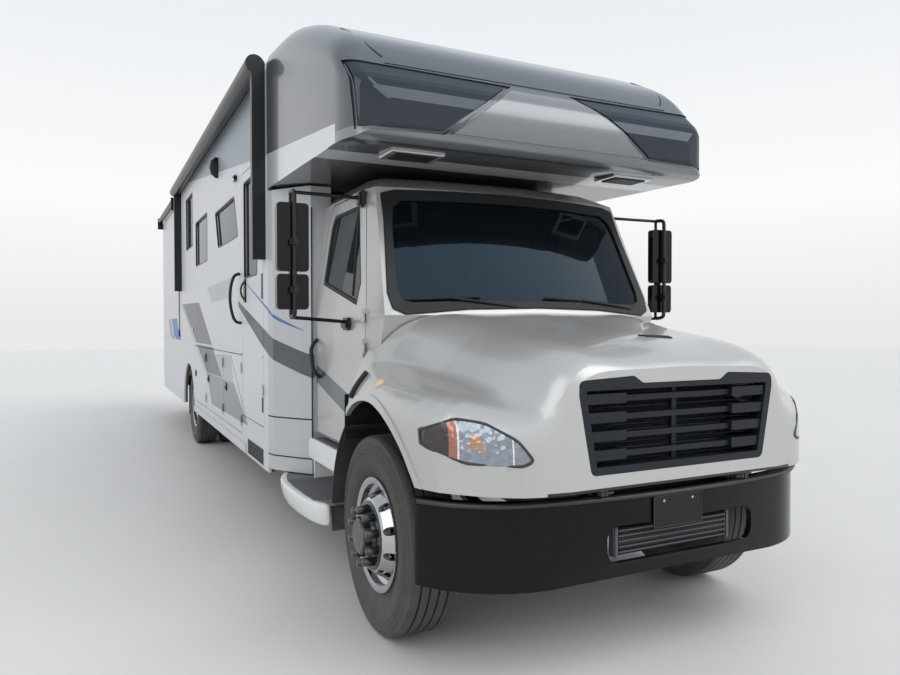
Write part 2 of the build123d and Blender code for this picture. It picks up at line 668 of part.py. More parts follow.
def cab_steps():
    """Two moulded steps and their fairing below each door."""
    unit = block((640, 1090), (770, 1480), (800, 825)) + block((1060, 1090), (770, 1480), (690, 825))
    unit += block((640, 1060), (1455, 1480), (510, 825))
    low_tread = plan_prism([(640, 765), (1215, 765), (1225, 1000), (1200, 1400), (1130, 1700), (1020, 1850),
                            (640, 1850)], (512, 535))
    skirt = plan_prism([(1190, 765), (1215, 765), (1225, 1000), (1200, 1400), (1130, 1700), (1020, 1850),
                        (995, 1850), (1100, 1690), (1174, 1395), (1199, 1000)], (392, 520))
    riser = block((900, 925), (765, 1480), (530, 805))
    hanger = block((FRAME_HALF, 660), (1100, 1250), (RAIL_TOP - 200, RAIL_TOP - 178))
    return unit + low_tread + skirt + riser + hanger


def cab_fillers():
    """The moulded columns beside the cab, the coach's front wall and the tunnel round the walk-through."""
    low, high = SKIRT_BOTTOM + 40, 2660
    outer = plan_prism([(SIDE, COACH_START), (SIDE - 18, 1860), (SIDE - 95, 1740), (1120, 1640), (1052, 1560),
                        (900, 1560), (900, COACH_START)], (low, high))
    inner = plan_prism([(SIDE - 30, COACH_START + 1), (SIDE - 46, 1872), (SIDE - 118, 1762), (1100, 1668),
                        (1070, 1590), (930, 1590), (930, COACH_START + 1)], (low - 1, high + 1))
    column = outer - inner - cab_volume(0)
    wall = block((-SIDE + 30, SIDE - 30), (COACH_START - WALL, COACH_START), (CAB_UNDER, high))
    tunnel = block((-WALK_HALF - 40, WALK_HALF + 40), (CAB_BACK, COACH_START), (CAB_UNDER, WALK_TOP + 40))
    passage = block((-WALK_HALF, WALK_HALF), (CAB_BACK - 1, COACH_START + 1), (CAB_UNDER + CAB_WALL, WALK_TOP))
    return column + other_side(column) + wall + tunnel - passage


# Over-cab cap: station, narrowing at each side, low Z, share of the height up to the crown, top corner radius
CAP_LOW = 2660
CAP_SECTIONS = (
    (-20, 200, 2720, 0.175, 40),
    (30, 68, 2655, 0.27, 65),
    (150, 10, 2640, 0.373, 110),
    (330, 0, 2645, 0.545, 160),
    (640, 0, 2650, 0.693, 185),
    (1000, 0, CAP_LOW, 0.829, 190),
    (1400, 0, 2668, 0.934, 190),
    (COACH_START, 0, 2680, 0.993, 190),
)
CAP_STEPS = 3
CAP_NOSE = 100
CAP_WALL = 40
CAP_WINDOW = [(270, 3060), (735, 2715), (1215, 2700), (1238, 3070)]
CAP_PANEL = [(-690, 2705), (690, 2705), (225, 3040), (-225, 3040)]


def cap_volume(inset):
    """The cap's outer form pulled in by inset, through sections with rounded top corners."""
    faces = []
    for station, narrowing, low, share, radius in smooth_rows(CAP_SECTIONS, CAP_STEPS):
        half, high = SIDE - max(narrowing, 0), CAP_LOW + share * (ROOF_CROWN - CAP_LOW)
        past_nose = (station - CAP_SECTIONS[0][0]) / CAP_NOSE
        s = station + inset * max(1 - past_nose, 0) + (1 if station == COACH_START and inset > 0 else 0)
        h, z0, z1 = half - inset, low + inset, high - inset
        r = radius
        k = r * (1 - math.sqrt(0.5))
        right = ThreePointArc((h, z1 - r), (h - k, z1 - k), (h - r, z1))
        left = ThreePointArc((-h + r, z1), (-h + k, z1 - k), (-h, z1 - r))
        sides = [Line((h - r, z1), (-h + r, z1)), Line((-h, z1 - r), (-h, z0)), Line((-h, z0), (h, z0)),
                 Line((h, z0), (h, z1 - r))]
        faces.append(Plane.XZ.offset(-at(s)) * make_face([right, left] + sides))
    return Solid.make_loft([f.face().outer_wire() for f in faces], ruled=True)


def overcab_cap():
    """The hollow bunk over the cab, open to the coach behind, and the two dark panes let into its front."""
    outer = cap_volume(0)
    cap = outer - cap_volume(CAP_WALL)
    cap += (cap_volume(-8) - cap_volume(5)) & front_prism(CAP_PANEL, (-100, 420))
    band = outer - cap_volume(14)
    recess = band & front_prism(grown(CAP_WINDOW, 20), (-100, 420))
    pane = (cap_volume(4) - cap_volume(14 - SEAT_GAP)) & front_prism(CAP_WINDOW, (-100, 420))
    cap -= recess
    cap -= other_side(recess)
    return cap - block((-600, 600), (1250, COACH_START + 10), (2600, 2760)), [pane, other_side(pane)]


# Coach body

def box_outline(s, z):
    """A rectangle as four (station, Z) points."""
    return [(s[0], z[0]), (s[1], z[0]), (s[1], z[1]), (s[0], z[1])]


ENTRY = ((2112, 2970), (842, 2975))
ENTRY_WINDOW = ((2345, 2885), (2060, 2885))
STORAGE = {"right": ((3030, 4020), (4060, 5250), (5290, 6360)), "left": ((3700, 4850), (4890, 6040))}
STORAGE_Z = (672, 1372)
WINDOWS = {
    "right": ([(3190, 2465), (4330, 2465), (4520, 2850), (3380, 2850)], box_outline((6480, 7180), (2700, 3400)),
              box_outline((5150, 6150), (2400, 2950))),
    "left": (box_outline((2500, 3500), (2250, 2950)), box_outline((4300, 5600), (2250, 2950)),
             box_outline((7600, 8700), (2450, 2950))),
}
SLIDE = ((8150, 10550), (1500, WALL_TOP - 150))
SLIDE_DEPTH = 760
SLIDE_GAP = 10
REAR_ARCH_R = TYRE_R + 65
FRONT_LOUVRE = ((2130, 2780), (530, 660))


def side_wall(name, sign):
    """A coach side panel with its door, window, storage and wheel openings cut."""
    end = REAR_STATION - REAR_CAP
    inside, outside = SIDE - WALL, SIDE
    cut = (inside - 5, outside + 5)
    wall = block((inside, outside), (COACH_START, end), (SKIRT_BOTTOM, WALL_TOP))
    wall -= round_x(REAR_ARCH_R, cut, WHEELBASE, TYRE_R)
    for outline in WINDOWS[name]:
        wall -= side_prism(outline, cut)
    for start, stop in STORAGE[name]:
        wall -= block(cut, (start - DOOR_GAP, stop + DOOR_GAP), (STORAGE_Z[0] - DOOR_GAP, STORAGE_Z[1] + DOOR_GAP))
    leaves = [(start, STORAGE_Z) for start, _ in STORAGE[name]]
    if name == "right":
        (s0, s1), (z0, z1) = ENTRY
        wall -= block(cut, (s0 - DOOR_GAP, s1 + DOOR_GAP), (z0 - DOOR_GAP, z1 + DOOR_GAP))
        (s0, s1), (z0, z1) = SLIDE
        wall -= block(cut, (s0, s1), (z0, z1))
        wall -= block(cut, FRONT_LOUVRE[0], FRONT_LOUVRE[1])
        leaves.append((ENTRY[0][0], ENTRY[1]))
    for start, (low, high) in leaves:
        wall += hinge_posts(start, low, high)
    return for_side(wall, sign)


LEAF_PIN_R = 5
LEAF_BARREL_R = 9
LEAF_OUT = 12


def hinge_levels(low, high):
    """The two heights of a side-hung door's barrels."""
    return low + (high - low) * 0.12, high - (high - low) * 0.12 - 60


def hinge_posts(start, low, high):
    """The fixed pins of a side-hung coach door, with the ears that hold them."""
    x, s = SIDE + LEAF_OUT, start - DOOR_GAP / 2
    posts = None
    for z in hinge_levels(low, high):
        pin = round_z(LEAF_PIN_R, x, s, (z - 18, z + 78))
        for ear in (z - 22, z + 66):
            pin += block((SIDE - 4, x + 6), (s - 14, s - 1), (ear, ear + 16))
        posts = pin if posts is None else posts + pin
    return posts


def hung_door(span, z, sign, window=None):
    """A side-hung coach door with its barrels, and its glass if it has a window."""
    (s0, s1), (low, high) = span, z
    door = block((SIDE - DOOR_THICK, SIDE), (s0, s1), (low, high))
    x, s = SIDE + LEAF_OUT, s0 - DOOR_GAP / 2
    for level in hinge_levels(low, high):
        door += round_z(LEAF_BARREL_R, x, s, (level, level + 60))
        door += block((SIDE - 2, x), (s + 2, s + 40), (level, level + 60))
        door -= round_z(LEAF_PIN_R + BEARING_GAP, x, s, (level - 30, level + 90))
    glass = None
    if window:
        outline = box_outline(*window)
        door -= side_prism(outline, (SIDE - 60, SIDE + 5))
        glass = side_prism(grown(outline, -SEAT_GAP), (SIDE - GLASS_INSET - 6, SIDE - GLASS_INSET))
        glass = for_side(glass, sign)
    return for_side(door, sign), glass


def rear_wall():
    """The moulded rear end, wrapping both corners."""
    s = (REAR_STATION - REAR_CAP, REAR_STATION)
    cap = block((-SIDE, SIDE), s, (REAR_LOW, WALL_TOP))
    edges = cap.edges().filter_by(Axis.Z).group_by(Axis.Y)[-1]
    cap = fillet(edges, 90)
    return cap - block((-SIDE + WALL, SIDE - WALL), (s[0] - 1, s[1] - WALL), (REAR_LOW - 1, WALL_TOP + 1))


ROOF_CORNER = 150


def roof_volume(inset, s):
    """The crowned roof section pulled in by inset and extruded over the stations s."""
    h, r = SIDE - inset, ROOF_CORNER
    crown, shoulder = ROOF_CROWN - inset, ROOF_CROWN - 45 - inset
    k = r * (1 - math.sqrt(0.5))
    low = WALL_TOP - (1 if inset else 0)
    edges = [ThreePointArc((-h + r, shoulder), (0, crown), (h - r, shoulder)),
             ThreePointArc((h, shoulder - r), (h - k, shoulder - k), (h - r, shoulder)),
             ThreePointArc((-h, shoulder - r), (-h + k, shoulder - k), (-h + r, shoulder)),
             Polyline((h, shoulder - r), (h, low), (-h, low), (-h, shoulder - r))]
    return extrude(Plane.XZ.offset(-at(s[0])) * make_face(edges), amount=s[0] - s[1])


def coach_roof():
    return (roof_volume(0, (COACH_START, REAR_STATION))
            - roof_volume(WALL, (COACH_START - 1, REAR_STATION - WALL)))


def coach_floor():
    """Floor slab round the stairwell, the sills that stand on the rails, the slide-out's runners and the stairs."""
    low = FLOOR_TOP - FLOOR_THICK
    inside = SIDE - WALL
    (s0, s1) = (ENTRY[0][0] - 20, ENTRY[0][1] + 20)
    well, tread, t = 560, 270, 22
    z = (low, FLOOR_TOP)
    pieces = [block((-inside, inside), (s1 + t, REAR_STATION - WALL), z),
              block((-inside + well + t, inside), (COACH_START, s1 + t), z)]
    for sign in (-1, 1):
        x = sorted((sign * (FRAME_HALF - 10), sign * (FRAME_HALF - 70)))
        pieces.append(block(x, (COACH_START, REAR_STATION - 60), (RAIL_TOP, low)))
    (r0, r1), (z0, _) = SLIDE
    for s in (r0 + 300, r1 - 300):
        pieces.append(block((-inside, SLIDE_DEPTH - SIDE), (s - 30, s + 30), (FLOOR_TOP, z0 + SLIDE_GAP - SEAT_GAP)))
    step_x, riser_x = -inside + tread, -inside + well
    foot, middle = ENTRY[1][0] - DOOR_GAP, 1140
    stairs = [block((-inside, step_x), (s0, s1), (foot - t, foot)),
              block((step_x, step_x + t), (s0, s1), (foot - t, middle)),
              block((step_x + t, riser_x), (s0, s1), (middle - t, middle)),
              block((riser_x, riser_x + t), (s0, s1), (middle - t, FLOOR_TOP))]
    for s in ((s0 - t, s0), (s1, s1 + t)):
        stairs.append(block((-inside, riser_x + t), s, (foot - t, FLOOR_TOP)))
    return Compound(children=pieces + stairs)


def storage_bays():
    """Open-sided storage boxes under the floor behind each storage door."""
    t = 15
    bays = []
    for name, sign in SIDES:
        for start, stop in STORAGE[name]:
            x, s, z = (470, SIDE - WALL), (start, stop), (STORAGE_Z[0] - 20, FLOOR_TOP - FLOOR_THICK)
            box = block(x, s, z) - block((x[0] + t, x[1] + 1), (s[0] + t, s[1] - t), (z[0] + t, z[1] - t))
            bays.append(for_side(box, sign))
    return Compound(children=bays)


def coach_windows(panes):
    """The panes in the coach's side walls, with those already made for the cap."""
    for name, sign in SIDES:
        for outline in WINDOWS[name]:
            pane = side_prism(grown(outline, -SEAT_GAP), (SIDE - GLASS_INSET - 6, SIDE - GLASS_INSET))
            panes.append(for_side(pane, sign))
    return Compound(children=panes)


def louvred_panel():
    """The slotted panel in the skirt below the entry door."""
    (s0, s1), (z0, z1) = FRONT_LOUVRE
    g = SEAT_GAP
    panel = block((-SIDE, -SIDE + 30), (s0 + g, s1 - g), (z0 + g, z1 - g))
    slot_count = 5
    pitch = (z1 - z0 - 20) / slot_count
    for i in range(slot_count):
        z = z0 + 14 + pitch * i
        panel -= block((-SIDE - 1, -SIDE + 16), (s0 + 20, s1 - 20), (z, z + pitch * 0.5))
    return panel


def slide_out():
    """The slide-out room on the passenger side: outer wall with a flange, floor, roof and ends."""
    (s0, s1), (z0, z1) = SLIDE
    g, t, flange = SLIDE_GAP, 40, 30
    x0, x1 = -SIDE - 22, SLIDE_DEPTH - SIDE
    room = block((x0 + 22, x1), (s0 + g, s1 - g), (z0 + g, z1 - g))
    room -= block((x0 + t + 22, x1 + 1), (s0 + g + t, s1 - g - t), (z0 + g + t, z1 - g - t))
    fascia = block((x0, -SIDE - DOOR_GAP), (s0 - flange, s1 + flange), (z0 - flange, z1 + flange))
    return room + fascia + block((-SIDE - DOOR_GAP, -SIDE + 10), (s0 + g, s1 - g), (z0 + g, z1 - g))


TOPPER_Z = WALL_TOP - 55


def slide_topper():
    """The roller of the slide-out's own awning, carried on the slide-out's outer wall."""
    (s0, s1), _ = SLIDE
    x = -SIDE - 22 - 48
    roller = round_y(42, x, (s0 - 25, s1 + 25), TOPPER_Z)
    for s in ((s0 - 28, s0 + 2), (s1 - 2, s1 + 28)):
        roller += block((x - 44, -SIDE - 22), s, (TOPPER_Z - 150, TOPPER_Z + 44))
    return roller


AWNING = (2010, 7950)
AWNING_Z = WALL_TOP + 40


def awning():
    """The rolled awning on its two tall arms."""
    depth, width, low = 100, 62, 2150
    roll_x = -SIDE - 74
    unit = round_y(72, roll_x, AWNING, AWNING_Z) + block((-SIDE - 60, -SIDE), AWNING, (AWNING_Z - 20, AWNING_Z + 30))
    for s in (AWNING[0], AWNING[1] - 150):
        unit += block((-SIDE - depth, -SIDE), (s, s + width), (low, AWNING_Z))
    return unit


def air_conditioners():
    """Two low roof units and two roof vents, seated on the crowned roof."""
    units = []
    below = roof_volume(0, (COACH_START, REAR_STATION))
    for s, length, width, height in ((4300, 1000, 720, 125), (8900, 1000, 720, 125), (2900, 420, 420, 65),
                                     (6700, 420, 420, 65)):
        body = block((-width / 2, width / 2), (s, s + length), (ROOF_CROWN - 60, ROOF_CROWN + height))
        body = fillet(body.edges().group_by(Axis.Z)[-1], 35)
        units.append(body - below)
    return Compound(children=units)


RECEIVER_Z = 560
RECEIVER_OUT = 63.5
RECEIVER_IN = 51
HITCH_PIN_R = 8.2


def rear_bumper():
    """Rear bumper beam, its brackets to the rails and the hitch receiver."""
    end = REAR_STATION + HITCH_REACH
    cross = (REAR_STATION - 300, REAR_STATION - 220)
    half_beam = 32
    z = (RECEIVER_Z - half_beam, RECEIVER_Z + half_beam)
    beam = block((100 - SIDE, SIDE - 100), (REAR_STATION - 40, REAR_STATION + 34), (500, 638))
    beam += block((-FRAME_HALF, FRAME_HALF), cross, z)
    for _, sign in SIDES:
        x = (FRAME_HALF - 60, FRAME_HALF - RAIL_WEB)
        post = block(x, cross, (z[0], RAIL_TOP - RAIL_DEPTH)) + block(x, (cross[0], REAR_STATION), z)
        beam += for_side(post, sign)
    h, i = RECEIVER_OUT / 2, RECEIVER_IN / 2
    beam += block((-h, h), (cross[0], end), (RECEIVER_Z - h, RECEIVER_Z + h))
    beam -= block((-i, i), (cross[0] + 40, end + 1), (RECEIVER_Z - i, RECEIVER_Z + i))
    return beam - round_x(HITCH_PIN_R, (-h - 1, h + 1), end - 45, RECEIVER_Z)


LADDER_LOW = 900


def ladder():
    """Rear ladder of round tube, stood off the wall."""
    x = (620, 960)
    s = REAR_STATION + 62
    post_r, bar_r = 14, 11
    top = WALL_TOP + 40
    rails = round_z(post_r, x[0], s, (LADDER_LOW, top)) + round_z(post_r, x[1], s, (LADDER_LOW, top))
    for z in (LADDER_LOW + 50, (LADDER_LOW + WALL_TOP) / 2, WALL_TOP - 20):
        for post in x:
            rails += round_y(bar_r, post, (REAR_STATION, s), z)
    rungs = 9
    pitch = (top - LADDER_LOW - 150) / (rungs - 1)
    for i in range(rungs):
        rails += round_x(bar_r, x, s, LADDER_LOW + 80 + i * pitch)
    return rails


def tail_lamps():
    lamps = []
    for _, sign in SIDES:
        lamp = block((1010, 1150), (REAR_STATION, REAR_STATION + 22), (960, 1240))
        lamps.append(for_side(fillet(lamp.edges().filter_by(Axis.Y), 20), sign))
    return Compound(children=lamps)


def mud_flaps():
    """Curved guards behind the front wheels and flaps behind the rear wheels."""
    flaps = []
    for _, sign in SIDES:
        ring = round_x(708, (640, 1165), 0, ARCH_Z) - round_x(700, (630, 1175), 0, ARCH_Z)
        guard = ring & block((630, 1170), (440, 760), (ARCH_Z, 1100))
        guard += block((640, 1165), (700, 708), (365, ARCH_Z + 1))
        guard += block((700, 1100), (706, 765), (512, 535))
        flaps.append(for_side(guard, sign))
        rear = block((640, 1210), (WHEELBASE + 640, WHEELBASE + 650), (330, 900))
        rear += block((FRAME_HALF, 660), (WHEELBASE + 635, WHEELBASE + 655), (840, 900))
        flaps.append(for_side(rear, sign))
    return Compound(children=flaps)


def build():
    add_wheels()
    add_axles()
    parts["frame_rails"] = frame_rails()
    parts["crossmembers"] = crossmembers()
    parts["powertrain"] = powertrain()
    parts["radiator"] = radiator()
    parts["fuel_tank"] = fuel_tank()
    parts["exhaust"] = exhaust()
    parts["front_bumper"] = front_bumper()
    parts["hood"], parts["grille"], parts["headlamps"] = hood_parts()
    shell, glass, door, door_glass = cab_parts()
    parts["cab_shell"], parts["windshield"] = shell, glass
    unit = mirror_unit()
    for name, sign in SIDES:
        parts["cab_door_" + name] = for_side(door, sign)
        parts["door_glass_" + name] = for_side(door_glass, sign)
        parts["mirror_" + name] = for_side(unit, sign)
    parts["dashboard"] = dashboard()
    parts["cab_seats"] = cab_seats()
    steps = cab_steps()
    parts["cab_steps"] = Compound(children=[steps, other_side(steps)])
    parts["cab_fillers"] = cab_fillers()
    parts["overcab_cap"], cap_panes = overcab_cap()
    for name, sign in SIDES:
        parts["side_wall_" + name] = side_wall(name, sign)
        for i, span in enumerate(STORAGE[name], 1):
            parts["storage_door_%s_%d" % (name, i)] = hung_door(span, STORAGE_Z, sign)[0]
    parts["entry_door"], parts["entry_door_glass"] = hung_door(*ENTRY, -1, ENTRY_WINDOW)
    parts["rear_wall"] = rear_wall()
    parts["coach_roof"] = coach_roof()
    parts["coach_floor"] = coach_floor()
    parts["storage_bays"] = storage_bays()
    parts["coach_windows"] = coach_windows(cap_panes)
    parts["louvred_panel"] = louvred_panel()
    parts["slide_out"] = slide_out()
    parts["slide_topper"] = slide_topper()
    parts["awning"] = awning()
    parts["air_conditioners"] = air_conditioners()
    parts["rear_bumper"] = rear_bumper()
    parts["ladder"] = ladder()
    parts["tail_lamps"] = tail_lamps()
    parts["mud_flaps"] = mud_flaps()


build()
os.makedirs("parts", exist_ok=True)
for node, shape in parts.items():
    export_step(shape, "parts/" + node + ".step")
print(len(parts), "nodes")
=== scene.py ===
import math

import bmesh
import bpy
from mathutils import Matrix, Vector
from mathutils.bvhtree import BVHTree
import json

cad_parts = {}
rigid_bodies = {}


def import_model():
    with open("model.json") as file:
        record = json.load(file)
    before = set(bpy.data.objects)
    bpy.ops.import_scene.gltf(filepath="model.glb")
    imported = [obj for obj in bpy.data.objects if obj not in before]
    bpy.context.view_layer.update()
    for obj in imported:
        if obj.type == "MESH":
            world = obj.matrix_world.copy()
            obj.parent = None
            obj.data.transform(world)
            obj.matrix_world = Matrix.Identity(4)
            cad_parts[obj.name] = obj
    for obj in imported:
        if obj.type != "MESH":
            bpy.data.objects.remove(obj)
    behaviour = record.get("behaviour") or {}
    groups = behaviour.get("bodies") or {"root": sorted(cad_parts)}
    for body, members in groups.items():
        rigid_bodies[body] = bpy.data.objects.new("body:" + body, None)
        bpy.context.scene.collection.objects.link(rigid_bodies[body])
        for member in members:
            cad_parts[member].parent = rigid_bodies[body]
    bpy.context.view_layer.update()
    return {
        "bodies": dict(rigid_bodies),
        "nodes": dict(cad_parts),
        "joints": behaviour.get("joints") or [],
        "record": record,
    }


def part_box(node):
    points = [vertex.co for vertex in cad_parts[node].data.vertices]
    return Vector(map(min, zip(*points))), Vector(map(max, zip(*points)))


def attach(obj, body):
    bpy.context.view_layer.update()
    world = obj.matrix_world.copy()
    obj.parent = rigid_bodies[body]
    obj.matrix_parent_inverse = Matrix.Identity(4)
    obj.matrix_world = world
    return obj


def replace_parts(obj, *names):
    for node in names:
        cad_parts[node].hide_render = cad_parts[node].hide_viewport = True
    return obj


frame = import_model()
nodes = frame["nodes"]

# The photograph's view: a camera at eye height off the front corner on the passenger side,
# with the whole front of the vehicle in frame and the coach side running away from it.
FRONT_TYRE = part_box("front_tyre_right")
AXLE_Y = round((FRONT_TYRE[0][1] + FRONT_TYRE[1][1]) / 2, 3)
EYE_HEIGHT, EYE_AHEAD, EYE_ASIDE = 1.643, 3.608, 2.488
VIEW_DOWN, VIEW_ROLL, VIEW_TURN = 1.006, 0.092, -26.43
camera = bpy.data.objects.new("camera", bpy.data.cameras.new("camera"))
camera.data.lens = 28.8
camera.data.sensor_width = 36
camera.data.clip_end = 200
camera.location = (-EYE_ASIDE, AXLE_Y - EYE_AHEAD, EYE_HEIGHT)
camera.rotation_euler = [math.radians(angle) for angle in (90 - VIEW_DOWN, VIEW_ROLL, VIEW_TURN)]
bpy.context.scene.collection.objects.link(camera)
bpy.context.scene.camera = camera
bpy.context.scene.view_settings.view_transform = "Standard"

# The studio: a pale floor, an even white surround that paint and glass mirror, and two broad soft
# lamps, one to each side of the camera.


def add(tree, kind, values=None, **settings):
    """A node with its settings. Each input named or numbered gets a value, or a link from another output."""
    node = tree.nodes.new(kind)
    for key, value in settings.items():
        setattr(node, key, value)
    for key, value in (values or {}).items():
        if isinstance(value, bpy.types.NodeSocket):
            tree.links.new(value, node.inputs[key])
        else:
            node.inputs[key].default_value = value
    return node


world = bpy.data.worlds.new("studio")
world.use_nodes = True
bpy.context.scene.world = world
sky = world.node_tree
sky.nodes.clear()
direction = add(sky, "ShaderNodeTexCoord").outputs["Generated"]
height = add(sky, "ShaderNodeSeparateXYZ", {0: direction}).outputs["Z"]
shades = add(sky, "ShaderNodeValToRGB", {0: height})
low_sky, high_sky = shades.color_ramp.elements
low_sky.position, high_sky.position = 0.0, 0.7
low_sky.color, high_sky.color = (0.82, 0.82, 0.82, 1), (0.66, 0.73, 0.82, 1)
shades.color_ramp.elements.new(0.16).color = (0.97, 0.97, 0.97, 1)
seen = add(sky, "ShaderNodeBackground", {"Color": shades.outputs[0], "Strength": 1.0})
lit = add(sky, "ShaderNodeBackground", {"Color": (0.93, 0.96, 1.0, 1), "Strength": 0.62})
ray = add(sky, "ShaderNodeLightPath").outputs
mirrored = add(sky, "ShaderNodeMath", {0: ray["Is Glossy Ray"], 1: ray["Is Transmission Ray"]},
               operation="MAXIMUM")
direct = add(sky, "ShaderNodeMath", {0: ray["Is Camera Ray"], 1: mirrored.outputs[0]}, operation="MAXIMUM")
choose = add(sky, "ShaderNodeMixShader", {0: direct.outputs[0], 1: lit.outputs[0], 2: seen.outputs[0]})
add(sky, "ShaderNodeOutputWorld", {0: choose.outputs[0]})

LAMPS = (("key_lamp", 38, 48, 1.35), ("side_lamp", -62, 55, 0.75))
for lamp_name, heading, tilt, strength in LAMPS:
    lamp = bpy.data.objects.new(lamp_name, bpy.data.lights.new(lamp_name, "SUN"))
    lamp.data.energy = strength
    lamp.data.angle = math.radians(50)
    lamp.rotation_euler = (math.radians(tilt), 0, math.radians(heading))
    bpy.context.scene.collection.objects.link(lamp)


def raise_surface(tree, height, distance, strength=1.0):
    """Lets a value raise the surface of a finish by a distance."""
    raised = add(tree, "ShaderNodeBump", {"Height": height, "Distance": distance, "Strength": strength})
    tree.links.new(raised.outputs[0], tree.nodes["Principled BSDF"].inputs["Normal"])


def finish(name, colour, rough=0.5, metal=0.0, coat=0.0, grain=6.0, shade=0.06, uneven=0.05, bump=0.0,
           bump_grain=400.0, dust=0.0, shine=0.5):
    """A finish of one colour whose shade, gloss and surface vary a little, with road dust low down."""
    material = bpy.data.materials.new(name)
    material.use_nodes = True
    tree = material.node_tree
    shader = tree.nodes["Principled BSDF"]
    shader.inputs["Metallic"].default_value = metal
    shader.inputs["Coat Weight"].default_value = coat
    shader.inputs["Specular IOR Level"].default_value = shine
    shader.inputs["Coat Roughness"].default_value = 0.03
    place = add(tree, "ShaderNodeTexCoord").outputs["Object"]
    cloud = add(tree, "ShaderNodeTexNoise",
                {"Vector": place, "Scale": grain, "Detail": 5.0, "Roughness": 0.6})
    darker = tuple(c * (1 - shade) for c in colour) + (1,)
    lighter = tuple(min(1, c * (1 + shade)) for c in colour) + (1,)
    tone = add(tree, "ShaderNodeMix", {0: cloud.outputs["Fac"], 6: darker, 7: lighter}, data_type="RGBA",
               label="tone")
    if dust:
        depth = add(tree, "ShaderNodeSeparateXYZ", {0: place}).outputs["Z"]
        low = add(tree, "ShaderNodeMapRange",
                  {"Value": depth, "From Min": 1.1, "From Max": 0.1, "To Min": 0.0, "To Max": dust})
        patch = add(tree, "ShaderNodeTexNoise", {"Vector": place, "Scale": 9.0, "Detail": 6.0})
        amount = add(tree, "ShaderNodeMath", {0: low.outputs[0], 1: patch.outputs["Fac"]},
                     operation="MULTIPLY")
        tone = add(tree, "ShaderNodeMix",
                   {0: amount.outputs[0], 6: tone.outputs[2], 7: (0.36, 0.33, 0.29, 1)},
                   data_type="RGBA", label="dust")
    tree.links.new(tone.outputs[2], shader.inputs["Base Color"])
    wear = add(tree, "ShaderNodeTexNoise", {"Vector": place, "Scale": grain * 2.3, "Detail": 6.0})
    gloss = add(tree, "ShaderNodeMapRange",
                {"Value": wear.outputs["Fac"], "To Min": max(0.02, rough - uneven), "To Max": rough + uneven})
    tree.links.new(gloss.outputs[0], shader.inputs["Roughness"])
    if bump:
        pits = add(tree, "ShaderNodeTexNoise", {"Vector": place, "Scale": bump_grain, "Detail": 3.0})
        raise_surface(tree, pits.outputs["Fac"], bump)
    return material


def dress(material, *names):
    """Gives CAD nodes their finish."""
    for name in names:
        for place in nodes[name].material_slots:
            place.material = material


def smoothed(node, body, material, angle=28):
    """A copy of a CAD node whose facets are merged and shaded smooth, standing for the node."""
    mesh = nodes[node].data.copy()
    mesh.name = node + "_skin"
    shape = bmesh.new()
    shape.from_mesh(mesh)
    bmesh.ops.remove_doubles(shape, verts=shape.verts, dist=2e-5)
    shape.to_mesh(mesh)
    shape.free()
    if mesh.has_custom_normals:
        mesh.attributes.remove(mesh.attributes["custom_normal"])
    mesh.shade_smooth()
    mesh.set_sharp_from_angle(angle=math.radians(angle))
    mesh.materials.clear()
    mesh.materials.append(material)
    piece = bpy.data.objects.new(node + "_skin", mesh)
    bpy.context.scene.collection.objects.link(piece)
    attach(piece, body)
    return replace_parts(piece, node)


floor_mesh = bpy.data.meshes.new("floor")
floor_mesh.from_pydata([(-45, -45, 0), (45, -45, 0), (45, 45, 0), (-45, 45, 0)], [], [(0, 1, 2, 3)])
floor = bpy.data.objects.new("floor", floor_mesh)
floor_mesh.materials.append(finish("pale_floor", (0.74, 0.74, 0.73), 0.55, grain=1.2, shade=0.03))
bpy.context.scene.collection.objects.link(floor)

# Chassis: black painted steel rails and crossmembers with leaf springs, cast axles and the driveline,
# all a little dusty from the road.
chassis_black = finish("chassis_black", (0.03, 0.03, 0.032), 0.5, grain=14, shade=0.3, bump=0.0004, dust=0.5)
dress(chassis_black, "frame_rails", "crossmembers", "springs", "rear_axle", "front_axle", "tie_rod",
      "knuckle_left", "knuckle_right", "rear_bumper")
dress(finish("engine_castings", (0.17, 0.17, 0.18), 0.6, 0.4, grain=20, shade=0.3, bump=0.002, bump_grain=90,
             dust=0.4), "powertrain")
dress(finish("tank_aluminium", (0.55, 0.56, 0.57), 0.32, 0.9, grain=25, shade=0.12, uneven=0.12), "fuel_tank")
dress(finish("heated_steel", (0.33, 0.29, 0.26), 0.45, 0.8, grain=18, shade=0.35, bump=0.0008), "exhaust")
dress(finish("flap_rubber", (0.02, 0.02, 0.021), 0.75, grain=30, shade=0.2, bump=0.0006, dust=0.5),
      "mud_flaps")


def core_fins(name, colour, pitch):
    """Fine upright cooling fins between flat cross tubes."""
    material = finish(name, colour, 0.45, 0.7, grain=12, shade=0.15)
    tree = material.node_tree
    place = add(tree, "ShaderNodeTexCoord").outputs["Object"]
    waves = [add(tree, "ShaderNodeTexWave",
                 {"Vector": place, "Scale": number / pitch / 3.14, "Distortion": 0.0},
                 bands_direction=axis).outputs["Fac"] for number, axis in ((1, "Z"), (4, "X"))]
    total = add(tree, "ShaderNodeMath", {0: waves[0], 1: waves[1]}, operation="ADD")
    raise_surface(tree, total.outputs[0], 0.004)
    return material


dress(core_fins("radiator_core", (0.09, 0.09, 0.095), 0.012), "radiator")

